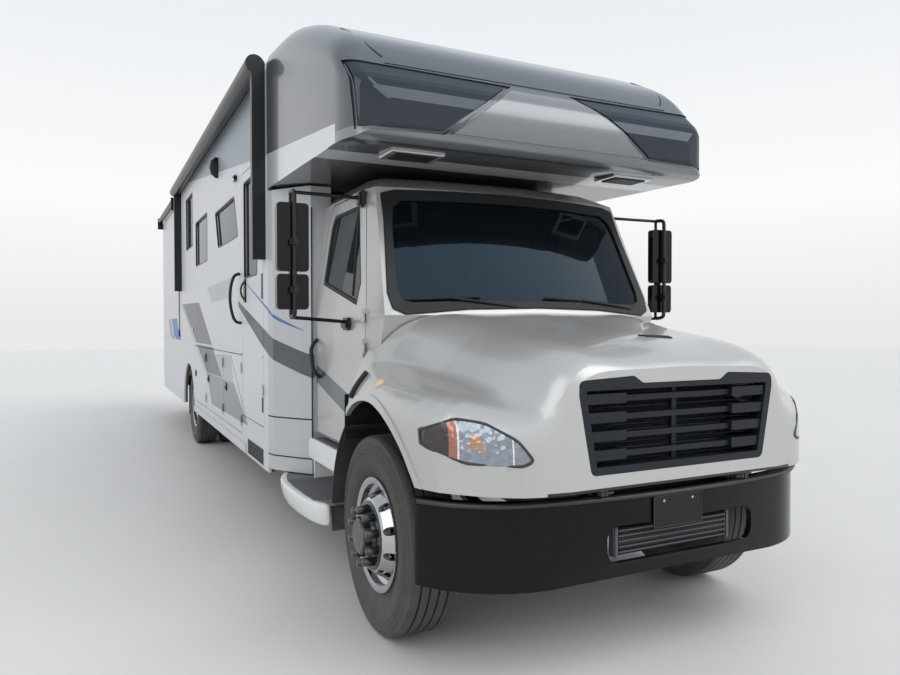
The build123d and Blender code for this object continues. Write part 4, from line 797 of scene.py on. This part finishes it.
for side, sign in SIDES:
    door, x = "cab_door_" + side, sign * GUARD_X
    for label, low, high, depth in MIRROR_PANES:
        s = 0.68 - depth / 4
        slab("mirror_glass_%s_%s" % (label, side), (sign * 1.345, sign * 1.5), (s - 0.002, s + 0.003),
             (low, high), silvered, door, 0.002)
    bar("mirror_guard_" + side, [(x, at(s), z) for s, z in GUARD_LINE], 0.0135, satin_black, door)
    for label, z in (("high", 2.13), ("low", 1.85)):
        slab("mirror_clamp_%s_%s" % (label, side), (x - 0.027, x + 0.027), (GUARD_S - 0.024, GUARD_S + 0.03),
             (z - 0.03, z + 0.03), satin_black, door, 0.014)
    slab("mirror_foot_high_" + side, (sign * 0.93, sign * 0.985), (0.68, 0.75), (2.385, 2.49), satin_black,
         door, 0.014)
    slab("mirror_foot_low_" + side, (sign * 1.02, sign * 1.065), (0.72, 0.84), (1.61, 1.69), satin_black,
         door, 0.014)

# Cab inside: a grained dash, and two cloth seats, each a crowned cushion and back with sewn channels
# on a plain base, and a small head rest.
dress(finish("dash_grain", (0.05, 0.052, 0.056), 0.6, grain=30, shade=0.12, bump=0.0006, bump_grain=700),
      "dashboard")
seat_cloth = finish("seat_cloth", (0.075, 0.077, 0.084), 0.85, grain=60, shade=0.25, bump=0.0008,
                    bump_grain=600)
seat_shader = seat_cloth.node_tree.nodes["Principled BSDF"]
seat_shader.inputs["Sheen Weight"].default_value = 0.4
dress(seat_cloth, "cab_seats")
PAD_CELL, PAD_PRESSURE, PAD_CAP, PAD_FRAMES = 0.014, 4.0, 0.024, 20


def swollen(mesh):
    """A closed mesh remeshed evenly and swollen by a cloth simulation, with a cap on each point's way."""
    scene = bpy.context.scene
    piece = bpy.data.objects.new(mesh.name, mesh)
    scene.collection.objects.link(piece)
    even = piece.modifiers.new("even", "REMESH")
    even.mode, even.voxel_size = "VOXEL", PAD_CELL
    bake(piece)
    cloth = piece.modifiers.new("swell", "CLOTH")
    cloth.settings.use_pressure = True
    cloth.settings.uniform_pressure_force = PAD_PRESSURE
    cloth.settings.effector_weights.gravity = 0
    cloth.point_cache.frame_start, cloth.point_cache.frame_end = 1, PAD_FRAMES
    for frame in range(1, PAD_FRAMES + 1):
        scene.frame_set(frame)
    full = piece.evaluated_get(bpy.context.evaluated_depsgraph_get()).data
    for vert, moved in zip(piece.data.vertices, full.vertices):
        step = moved.co - vert.co
        vert.co = vert.co + step * min(1, PAD_CAP / max(step.length, 1e-6))
    made = piece.data
    scene.frame_set(1)
    bpy.data.objects.remove(piece)
    return made


CHANNEL_WIDTH, SEAM_AT, SEAM_WIDTH, SEWN_DEPTH, UNDERSIDE = 0.04, 0.66, 0.045, 0.009, 0.36


def pad_mesh(name, size, channels, flat):
    """A sewn pad about the origin: a swollen shell with two seams along it, channels across it, and a
    flat underside where it is asked for."""
    shape = bmesh.new()
    bmesh.ops.create_cube(shape, size=2)
    bmesh.ops.subdivide_edges(shape, edges=shape.edges, cuts=15, use_grid_fill=True)
    for vert in shape.verts:
        x, y, z = vert.co
        pull = 1 - 0.05 * (1 - abs(x)) * (1 - abs(y)) - 0.06 * (x * x * y * y + z * z * max(x * x, y * y))
        half = (size[0] / 2 - 0.016, size[1] / 2 - 0.016, size[2] / 2 - 0.02)
        vert.co = (x * pull * half[0], y * pull * half[1], z * pull * half[2])
    mesh = bpy.data.meshes.new(name)
    shape.to_mesh(mesh)
    shape.free()
    mesh = swollen(mesh)
    spans = [max(v.co[k] for v in mesh.vertices) - min(v.co[k] for v in mesh.vertices) for k in range(3)]
    for vert in mesh.vertices:
        vert.co = [c * full / span for c, full, span in zip(vert.co, size, spans)]
        x, y, z = (2 * c / full for c, full in zip(vert.co, size))
        across = sum(math.exp(-((y - c) / CHANNEL_WIDTH) ** 2) for c in channels)
        along = 0.7 * math.exp(-((abs(x) - SEAM_AT) / SEAM_WIDTH) ** 2)
        vert.co[2] -= math.copysign(SEWN_DEPTH * min(across + along, 1), z) * min(1, abs(z) * 1.4)
        if flat:
            vert.co[2] = max(vert.co[2], -UNDERSIDE * size[2])
    mesh.materials.clear()
    mesh.materials.append(seat_cloth)
    mesh.shade_smooth()
    return mesh


def pad(name, mesh, centre, tilt):
    """A pad at its place in the cab, with one subdivision."""
    copy = mesh.copy()
    copy.name = name
    copy.transform(Matrix.Translation(centre) @ Matrix.Rotation(tilt, 4, "X"))
    piece = bpy.data.objects.new(name, copy)
    bpy.context.scene.collection.objects.link(piece)
    finer = piece.modifiers.new("finer", "SUBSURF")
    finer.levels = finer.render_levels = 1
    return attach(bake(piece), "chassis")


cushion = pad_mesh("cushion", (0.49, 0.5, 0.13), (-0.4, 0.3), True)
backrest = pad_mesh("backrest", (0.47, 0.66, 0.12), (-0.45, 0.1, 0.6), False)
head_pad = pad_mesh("head_pad", (0.26, 0.2, 0.085), (), False)
SEAT_X = 0.5
for side, sign in SIDES:
    x = sign * SEAT_X
    slab("seat_base_" + side, (x - 0.18, x + 0.18), (1.08, 1.42), (1.056, 1.225), satin_black, "chassis",
         0.015)
    seat = pad("seat_cushion_" + side, cushion, (x, at(1.25), 1.272), 0)
    pad("seat_back_" + side, backrest, (x, at(1.525), 1.66), math.radians(81))
    pad("head_rest_" + side, head_pad, (x, at(1.59), 2.08), math.radians(85))
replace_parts(seat, "cab_seats")

# Wheel arches: a sheet of black rubber behind each front wheel closes the space between the hood and the
# cab, and also stands as a dark sheet for the deep shade behind the arch. It stays with the cab when the
# hood is tilted.
for side, sign in SIDES:
    slab("wing_shade_shield_" + side, (sign * 0.62, sign * 1.155), (0.468, 0.482), (0.97, 1.235), rubber_black,
         "chassis", 0.004)

# Steps: white mouldings with grey ribbed treads and plain nosings, below each cab door. The lower step
# has a moulded skirt round its edge that curves in towards the column at the back.
white_gelcoat = finish("white_gelcoat", (0.8, 0.81, 0.81), 0.25, coat=0.6, grain=3, shade=0.03, dust=0.12)
dress(white_gelcoat, "cab_steps")
tread_grey = finish("tread_grey", (0.16, 0.165, 0.175), 0.6, grain=30, shade=0.15, bump=0.0005,
                    bump_grain=700)
RIB_HEIGHT = 0.005


def rib_tree(name, material):
    """A row of low ribs along X, at equal steps along Y."""
    tree, given, result = geometry_tree(name, {"Ribs": 20, "Pitch": 0.02, "Width": 0.4})
    step = add(tree, "ShaderNodeCombineXYZ", {"Y": given["Pitch"]})
    line = add(tree, "GeometryNodeMeshLine", {"Count": given["Ribs"], "Offset": step.outputs[0]})
    thick = add(tree, "ShaderNodeMath", {0: given["Pitch"], 1: 0.5}, operation="MULTIPLY")
    size = add(tree, "ShaderNodeCombineXYZ", {"X": given["Width"], "Y": thick.outputs[0], "Z": RIB_HEIGHT})
    rib = add(tree, "GeometryNodeMeshCube", {"Size": size.outputs[0]})
    stand_on(tree, line.outputs[0], rib.outputs[0], material, False, result)
    return tree


tread_tree = rib_tree("tread_ribs", tread_grey)
STEP_PLAN = ((1.19, 0.66), (1.235, 0.7), (1.268, 0.78), (1.29, 0.9), (1.302, 1.05), (1.306, 1.2),
             (1.305, 1.32), (1.297, 1.45), (1.28, 1.58), (1.25, 1.7), (1.2, 1.8), (1.13, 1.88), (1.04, 1.93),
             (0.94, 1.955))
STEP_PROFILE = ((-0.06, 0.538), (-0.012, 0.541), (0.0, 0.534), (0.003, 0.515), (-0.004, 0.46),
                (-0.022, 0.405), (-0.03, 0.398), (-0.038, 0.404), (-0.022, 0.46), (-0.014, 0.522),
                (-0.06, 0.53))


def moulded_skirt(name, sign):
    """The lower step's skirt: one moulded profile carried round the step's curved plan, with closed ends."""
    verts, faces, count, last = [], [], len(STEP_PROFILE), len(STEP_PLAN) - 1
    for i, (x, s) in enumerate(STEP_PLAN):
        before, after = Vector(STEP_PLAN[max(i - 1, 0)]), Vector(STEP_PLAN[min(i + 1, last)])
        along = (after - before).normalized()
        out = Vector((along[1], -along[0]))
        verts += [(sign * (x + out[0] * reach), at(s + out[1] * reach), z) for reach, z in STEP_PROFILE]
    for i in range(last):
        for k in range(count):
            j = (k + 1) % count
            faces.append((i * count + k, i * count + j, (i + 1) * count + j, (i + 1) * count + k))
    faces += [tuple(range(count)), tuple(range(len(verts) - 1, len(verts) - 1 - count, -1))]
    piece = new_mesh(name, verts, faces, white_gelcoat)
    smooth = piece.modifiers.new("smooth", "SUBSURF")
    smooth.levels = smooth.render_levels = 1
    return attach(bake(piece), "chassis")


TREAD_TOP, TREAD_THICK = 0.5385, 0.0085
TREAD_BACK = ((0.9, 1.95), (0.9, 0.71))


def lower_tread(name, sign):
    """The lower step's flat tread: the skirt's plan set in a little and closed behind, as a thin plate."""
    plan = [(sign * (x - 0.03), at(s)) for x, s in STEP_PLAN] + [(sign * x, at(s)) for x, s in TREAD_BACK]
    count = len(plan)
    verts = [(x, y, z) for z in (TREAD_TOP - TREAD_THICK, TREAD_TOP) for x, y in plan]
    faces = [tuple(range(count)), tuple(range(count, 2 * count))]
    faces += [(i, (i + 1) % count, count + (i + 1) % count, count + i) for i in range(count)]
    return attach(new_mesh(name, verts, faces, tread_grey, False), "chassis")


RIB_PITCH = 0.02
TREADS = (("upper", 0.885, 0.8, 0.826, 0.36, 33), ("lower", 1.08, 0.82, 0.536, 0.34, 34))
for side, sign in SIDES:
    moulded_skirt("step_skirt_" + side, sign)
    lower_tread("lower_tread_" + side, sign)
    slab("upper_nosing_" + side, (sign * 1.052, sign * 1.098), (0.768, 1.484), (0.69, 0.831), white_gelcoat,
         "chassis", 0.014)
    slab("lower_riser_" + side, (sign * 0.892, sign * 0.93), (0.768, 1.484), (0.54, 0.69), white_gelcoat,
         "chassis", 0.012)
    for label, x, s, z, width, ribs in TREADS:
        edge = width / 2 + 0.01
        slab("tread_plate_%s_%s" % (label, side), (sign * (x - edge), sign * (x + edge)),
             (s - 0.012, s + ribs * RIB_PITCH - 0.008), (z - 0.002, z + 0.003), tread_grey, "chassis", 0.001)
        move = Matrix.Translation((sign * x, at(s), z + 0.005))
        from_tree("tread_ribs_%s_%s" % (label, side), tread_tree,
                  {"Ribs": ribs, "Pitch": RIB_PITCH, "Width": width}, move, "chassis")

# Columns beside the cab and the over-cab cap: silver-grey gelcoat, darker above a slanting line on the
# sides, with fine rubber seams between the mouldings and two flat lamps under the cap.
column_silver = finish("column_silver", (0.5, 0.515, 0.53), 0.34, 0.1, 0.3, grain=1.5, shade=0.03,
                       uneven=0.03)
cap_silver = finish("cap_silver", (0.09, 0.098, 0.11), 0.24, 0.3, 0.5, grain=1.5, shade=0.05, uneven=0.03)
dress(column_silver, "cab_fillers")
smoothed("overcab_cap", "chassis", cap_silver, 34)
NOSE_GREY, SIDE_WHITE, UNDERSIDE_SHADE_GREY = (0.22, 0.23, 0.24), (0.62, 0.64, 0.66), (0.06, 0.064, 0.07)
STRIPE_BLUE = (0.06, 0.17, 0.36)
CAP_NOSE_PAINT = (box_loop((-1.3, 1.3), (2.6, 2.7)),
                  [(-0.695, 2.69), (0.695, 2.69), (0.23, 3.045), (-0.23, 3.045)])
CAP_PAINT = (
    ([(0.24, 2.6), (2.2, 2.6), (2.2, 2.975), (0.24, 2.752)], SIDE_WHITE, 1.0),
    # The cap's underside is painted dark grey: painted shade under the cap.
    ([(0.06, 2.5), (0.64, 2.5), (0.64, 2.653), (0.33, 2.648), (0.06, 2.656)], UNDERSIDE_SHADE_GREY, 1.0),
    ([(0.64, 2.5), (2.0, 2.5), (2.0, 2.684), (1.4, 2.671), (1.0, 2.663), (0.64, 2.653)], UNDERSIDE_SHADE_GREY, 1.0),
)
COLUMN_PAINT = (
    ([(1.8, 1.668), (1.96, 1.75), (1.96, 1.779), (1.8, 1.695)], STRIPE_BLUE, 1.0),
    ([(1.61, 1.6), (1.8, 1.668), (1.8, 1.695), (1.61, 1.605)], STRIPE_BLUE, 1.0),
    ([(1.5, 1.23), (1.955, 1.42), (1.955, 1.58), (1.5, 1.4)], STRIPE_GREY, 1.0),
)


def paint_sides(material, areas):
    """Paints areas of the vehicle's sides, each an outline of (station, Z) with its colour and strength."""
    for outline, colour, strength in areas:
        paint(material, [(at(s), z) for s, z in outline], colour, (1, 2), strength)


for outline in CAP_NOSE_PAINT:
    paint(cap_silver, outline, NOSE_GREY, (0, 2))
paint_sides(cap_silver, CAP_PAINT)
paint_sides(column_silver, COLUMN_PAINT)
CAP_SEAM = ((1.12, 0.62), (1.1, 0.42), (1.085, 0.278), (1.054, 0.232), (1.018, 0.201))
for side, sign in SIDES:
    spots = [hit("overcab_cap", (sign * x, at(s), 5), (0, 0, -1))[0] for x, s in CAP_SEAM]
    bar("cap_seam_" + side, spots, 0.005, rubber_black, "chassis")
# A black cord along the crease across the cap's front: painted shade in the crease.
CREASE_X = (-1.02, -0.67, -0.28, 0.0, 0.28, 0.67, 1.02)
spots = [hit("overcab_cap", (x, at(-3), 3.1), (0, 1, 0))[0] for x in CREASE_X]
bar("cap_crease_shade", spots, 0.004, rubber_black, "chassis")
lamp_chrome = finish("lamp_chrome", (0.7, 0.71, 0.72), 0.12, 0.9, grain=40, shade=0.1)
for side, sign in SIDES:
    slab("cap_lamp_" + side, (sign * 0.62, sign * 0.96), (0.2, 0.42), (2.628, 2.645), lamp_chrome, "chassis",
         0.006)
    slab("cap_lamp_lens_" + side, (sign * 0.66, sign * 0.92), (0.235, 0.385), (2.622, 2.63), rubber_black,
         "chassis", 0.003)
COLUMN_PLAN = ((1.2815, 1.945), (1.2645, 1.86), (1.1875, 1.74), (1.12, 1.64), (1.054, 1.56))
CAB_SEAM_Z = (0.7, 1.0, 1.3, 1.6, 1.9, 2.2, 2.5)
for side, sign in SIDES:
    for label, z in (("low", 0.95), ("foot", 0.66)):
        line = [(sign * x, at(s), z) for x, s in COLUMN_PLAN]
        bar("column_seam_%s_%s" % (label, side), line, 0.005, rubber_black, "chassis", False, False)
    line = [(sign * 1.05, at(1.553), z) for z in CAB_SEAM_Z]
    bar("cab_seam_" + side, line, 0.005, rubber_black, "chassis", False, False)

# Coach walls: white gloss panels with painted bands of grey and blue, black window frames set on the
# panels, and a thin trim rail and a sill moulding along each side.
coach_white = finish("coach_white", (0.64, 0.65, 0.67), 0.32, grain=1.2, shade=0.02, uneven=0.03, dust=0.1,
                     shine=0.12)
kerb_white = coach_white.copy()
kerb_white.name = "kerb_white"
GREY_ABOVE, MID_GREY = (0.27, 0.31, 0.36), (0.3, 0.315, 0.335)
LIGHT_GREY, BAND_BLUE = (0.46, 0.48, 0.5), (0.05, 0.17, 0.42)
BANDS = (
    ([(1.9, 2.93), (8.2, 3.78), (8.2, 4.0), (1.9, 4.0)], GREY_ABOVE, 0.9),
    ([(3.481, 1.915), (4.794, 1.896), (5.19, 2.078), (3.558, 2.102)], LIGHT_GREY, 1.0),
    ([(3.458, 1.089), (4.152, 1.1), (4.595, 1.329), (3.615, 1.35)], LIGHT_GREY, 1.0),
    ([(2.775, 0.768), (4.882, 0.754), (5.28, 1.096), (3.458, 1.089)], MID_GREY, 1.0),
    ([(4.152, 1.1), (5.28, 1.096), (7.696, 1.955), (5.903, 1.927)], STRIPE_GREY, 0.85),
    ([(5.3, 1.07), (5.42, 1.07), (7.84, 1.93), (7.7, 1.955)], LIGHT_GREY, 1.0),
    ([(7.95, 1.42), (8.75, 1.42), (9.1, 1.75), (8.3, 1.75)], BAND_BLUE, 1.0),
    ([(8.9, 1.42), (9.3, 1.42), (9.65, 1.75), (9.25, 1.75)], MID_GREY, 1.0),
    ([(2.785, 0.775), (2.8, 0.768), (3.61, 1.345), (3.592, 1.35)], STRIPE_GREY, 1.0),
    ([(1.945, 1.42), (2.217, 1.496), (3.175, 1.811), (3.2, 1.87), (1.945, 1.58)], STRIPE_GREY, 1.0),
    ([(1.945, 1.748), (2.268, 1.845), (2.956, 2.046), (2.956, 2.054), (1.945, 1.775)], BAND_BLUE, 1.0),
)
DOOR_BANDS = 3
road_wall = coach_white.copy()
road_wall.name = "road_wall"
paint_sides(kerb_white, BANDS)
paint_sides(road_wall, BANDS[:-DOOR_BANDS])
dress(coach_white, "rear_wall")
dress(kerb_white, "slide_out")
kerb_wall = kerb_white.copy()
kerb_wall.name = "kerb_wall"
# The inside faces of the side walls and their doors are painted a dark brown: a lining, darkened as painted
# shade for the unlit inside.
LINING_AND_SHADE = (0.12, 0.1, 0.085)
within = box_loop((-1.262, 1.262), (0.3, 3.7))
paint(kerb_wall, within, LINING_AND_SHADE, (0, 2))
paint(road_wall, within, LINING_AND_SHADE, (0, 2))
dress(road_wall, "side_wall_left", *[n for n in nodes if n.startswith("storage_door_left")])
dress(kerb_wall, "side_wall_right", "entry_door", *[n for n in nodes if n.startswith("storage_door_right")])
dark_pane = glass("dark_pane", (0.045, 0.052, 0.062), 0.05, 1.0)
pane_shader = dark_pane.node_tree.nodes["Principled BSDF"]
pane_shader.inputs["Metallic"].default_value = 0.55
pane_shader.inputs["Coat Weight"].default_value = 0.1
pane_shader.inputs["Specular Tint"].default_value = (0.5, 0.55, 0.6, 1)
dress(dark_pane, "coach_windows", "entry_door_glass")
SIDE_X = round(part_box("rear_wall")[1][0], 4)


def window_frame(name, outline, sign, width, proud, material, body, depth=0.012):
    """A flat frame with rounded corners, proud of the coach side, round an outline of (station, Z)."""
    corners = [Vector(corner) for corner in outline]
    middle = sum(corners, Vector((0, 0))) / len(corners)
    outer, inner = [], []
    for corner in corners:
        out = corner - middle
        grow = Vector((math.copysign(1, out[0]), math.copysign(1, out[1])))
        outer.append(tuple(corner + grow * width * 0.7))
        inner.append(tuple(corner - grow * width * 0.3))
    outer, inner = rounded_loop(outer, 0.05), rounded_loop(inner, 0.035)
    verts = []
    for loop, reach in ((outer, -depth), (outer, proud), (inner, proud), (inner, -depth)):
        verts += [(sign * (SIDE_X + reach), at(s), z) for s, z in loop]
    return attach(softened(new_mesh(name, verts, frame_faces(len(outer)), material), 0.002), body)


KERB_WINDOWS = ([(3.19, 2.465), (4.33, 2.465), (4.52, 2.85), (3.38, 2.85)],
                box_loop((6.48, 7.18), (2.7, 3.4)), box_loop((5.15, 6.15), (2.4, 2.95)))
ROAD_WINDOWS = (box_loop((2.5, 3.5), (2.25, 2.95)), box_loop((4.3, 5.6), (2.25, 2.95)),
                box_loop((7.6, 8.7), (2.45, 2.95)))
for side, sign, outlines in (("right", -1, KERB_WINDOWS), ("left", 1, ROAD_WINDOWS)):
    for i, outline in enumerate(outlines):
        window_frame("window_frame_%s_%d" % (side, i + 1), outline, sign, 0.016, 0.003, satin_black,
                     "chassis")
rail_grey = finish("rail_grey", (0.6, 0.61, 0.62), 0.3, 0.5, grain=20, shade=0.08)
RAILS = {"right": ((3.02, 3.66), (3.66, 8.1), (10.6, 10.94)), "left": ((1.96, 10.94),)}
SILL_START = {"right": 2.84, "left": 1.98}


def on_wall(sign, inward, outward):
    """Two X values, one inside and one outside the face of a coach wall."""
    return (sign * (SIDE_X - inward), sign * (SIDE_X + outward))


for side, sign in SIDES:
    for i, span in enumerate(RAILS[side]):
        slab("trim_rail_%s_%d" % (side, i + 1), on_wall(sign, 0.002, 0.004), span, (1.398, 1.42), rail_grey,
             "chassis", 0.0015)
    slab("sill_" + side, on_wall(sign, 0.002, 0.011), (SILL_START[side], 6.38), (0.515, 0.6), coach_white,
         "chassis", 0.005)

# Roof sheet, floor, ladder and tail lamps: a white membrane laid over the roof, a brown lining on the floor
# and in the storage boxes, and on the rear wall an aluminium tube ladder and red lamp lenses.
dress(finish("roof_sheet", (0.78, 0.78, 0.77), 0.6, grain=4, shade=0.05, bump=0.0004), "coach_roof")
dress(finish("floor_lining", (0.3, 0.27, 0.24), 0.6, grain=10, shade=0.2), "coach_floor", "storage_bays")
dress(finish("ladder_aluminium", (0.6, 0.61, 0.62), 0.3, 0.95, grain=20, shade=0.1), "ladder")
dress(finish("tail_red", (0.42, 0.012, 0.012), 0.15, coat=1.0, grain=30, shade=0.15), "tail_lamps")

# Roof units and rear lamps: moulded covers with a ribbed air outlet, and small red lamps along the top of
# the rear wall, as such coaches carry.
dress(white_gelcoat, "air_conditioners")
ROOF_UNIT_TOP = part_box("air_conditioners")[1][2]
outlet_tree = rib_tree("outlet_ribs", finish("outlet_grey", (0.2, 0.2, 0.21), 0.6, grain=30, shade=0.1))
OUTLET_RIBS = {"Ribs": 12, "Pitch": 0.03, "Width": 0.5}
for label, s in (("front", 4.8), ("rear", 9.4)):
    move = Matrix.Translation((0, at(s), ROOF_UNIT_TOP - 0.0015))
    from_tree("roof_outlet_" + label, outlet_tree, OUTLET_RIBS, move, "chassis")
small_red = finish("small_red", (0.45, 0.012, 0.012), 0.15, coat=1.0, grain=60, shade=0.2)
TOP_LAMPS_X = (-1.1, -0.15, 0.0, 0.15, 1.1)
for i, x in enumerate(TOP_LAMPS_X):
    slab("top_lamp_%d" % (i + 1), (x - 0.04, x + 0.04), (10.955, 10.975), (3.5, 3.525), small_red, "chassis",
         0.005)

# Entry door: a flush door on three hinge strips, its dark pane in a black frame, with a lock, a curved
# black grab handle beside it and white hold-back knobs. The louvred panel below it is black too.
dress(satin_black, "louvred_panel")
window_frame("entry_pane_frame", box_loop((2.345, 2.885), (2.06, 2.885)), -1, 0.016, 0.003, satin_black,
             "entry_door")
GRAB_LINE = ((0.0, 3.09, 2.105), (0.05, 3.085, 2.11), (0.085, 3.075, 2.0), (0.098, 3.06, 1.88),
             (0.085, 3.05, 1.76), (0.05, 3.045, 1.66), (0.0, 3.045, 1.665))
HANDLE_LINE = ((0.012, 2.84, 1.87), (0.04, 2.84, 1.9), (0.04, 2.84, 1.99), (0.012, 2.84, 2.02))
bar("grab_handle", [(-SIDE_X - out, at(s), z) for out, s, z in GRAB_LINE], 0.014, rubber_black, "chassis")
slab("entry_lock", on_wall(-1, 0.001, 0.012), (2.8, 2.88), (1.84, 2.05), satin_black, "entry_door", 0.006)
bar("entry_handle", [(-SIDE_X - out, at(s), z) for out, s, z in HANDLE_LINE], 0.008, rubber_black,
    "entry_door")
knob_white = finish("knob_white", (0.8, 0.8, 0.79), 0.35, grain=30, shade=0.05)
KNOB_SECTION = ((-0.001, 0.0), (-0.001, 0.02), (0.012, 0.02), (0.02, 0.012), (0.022, 0.0))
KNOB_Z = 1.404
half_turn = Matrix.Rotation(math.pi, 4, "Z")
for label, s, body in (("door", 2.16, "entry_door"), ("wall", 3.02, "chassis")):
    knob = turned("holdback_" + label, KNOB_SECTION, (0, 0, 0), 20, knob_white)
    knob.data.transform(Matrix.Translation((-SIDE_X, at(s), KNOB_Z)) @ half_turn)
    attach(knob, body)
HINGES = (("low", 0.95, 1.15), ("middle", 1.85, 2.05), ("high", 2.65, 2.85))
for label, low, high in HINGES:
    slab("entry_hinge_" + label, on_wall(-1, 0.001, 0.006), (2.13, 2.165), (low, high), satin_black,
         "entry_door", 0.002)

# Storage doors: flush doors in the colours of the wall, each with a black latch plate and its paddle
# near the edge away from the hinge.
LATCH_INSET = 0.14
for side, sign in SIDES:
    doors = sorted(name for name in nodes if name.startswith("storage_door_" + side))
    for i, body in enumerate(doors):
        s = round(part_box(body)[1][1] - AXLE_Y, 3) - LATCH_INSET
        slab("latch_%s_%d" % (side, i + 1), on_wall(sign, 0.001, 0.009), (s - 0.045, s + 0.045),
             (0.985, 1.065), satin_black, body, 0.004)
        slab("latch_paddle_%s_%d" % (side, i + 1), (sign * (SIDE_X + 0.006), sign * (SIDE_X + 0.013)),
             (s - 0.03, s + 0.03), (1.0, 1.035), rubber_black, body, 0.003)

# Outside lamps: an entry lamp and a porch lamp high on the passenger side, and two amber side markers on
# each wall. They are fixed flat on the panels.
lamp_white = finish("lamp_white", (0.8, 0.82, 0.84), 0.2, coat=0.8, grain=50, shade=0.08)
slab("entry_lamp", on_wall(-1, 0.001, 0.03), (3.2, 3.32), (2.97, 3.03), satin_black, "chassis", 0.012)
slab("entry_lamp_lens", (-SIDE_X - 0.034, -SIDE_X - 0.02), (3.215, 3.305), (2.975, 3.0), lamp_white,
     "chassis", 0.004)
PORCH_SECTION = ((0.0, 0.0), (0.0, 0.055), (0.02, 0.055), (0.05, 0.035), (0.06, 0.0))
porch = turned("porch_lamp", PORCH_SECTION, (0, 0, 0), 24, satin_black)
oval = Matrix.Diagonal((1.5, 0.45, 2.0, 1))
porch.data.transform(Matrix.Translation((-SIDE_X, at(4.3), 3.3)) @ half_turn @ oval)
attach(porch, "chassis")
MARKERS_S = (6.5, 10.6)
for side, sign in SIDES:
    for i, s in enumerate(MARKERS_S):
        slab("side_marker_%s_%d" % (side, i + 1), on_wall(sign, 0.001, 0.012), (s - 0.04, s + 0.04),
             (1.57, 1.615), amber_lens, "chassis", 0.005)

# Awnings: the main awning and the slide-out room's own one, both rolled up, with their rollers, ends and
# arms in satin black.
dress(satin_black, "awning", "slide_topper")

# Slide-out room: a box with a flat face in the wall's paint, framed by a seal of black rubber that rides
# with it and closes on the wall when the room is in.
SLIDE_FACE = box_loop((8.15, 10.55), (1.5, 3.5))
window_frame("slide_seal", SLIDE_FACE, -1, 0.02, 0.004, rubber_black, "slide_out", 0.004)
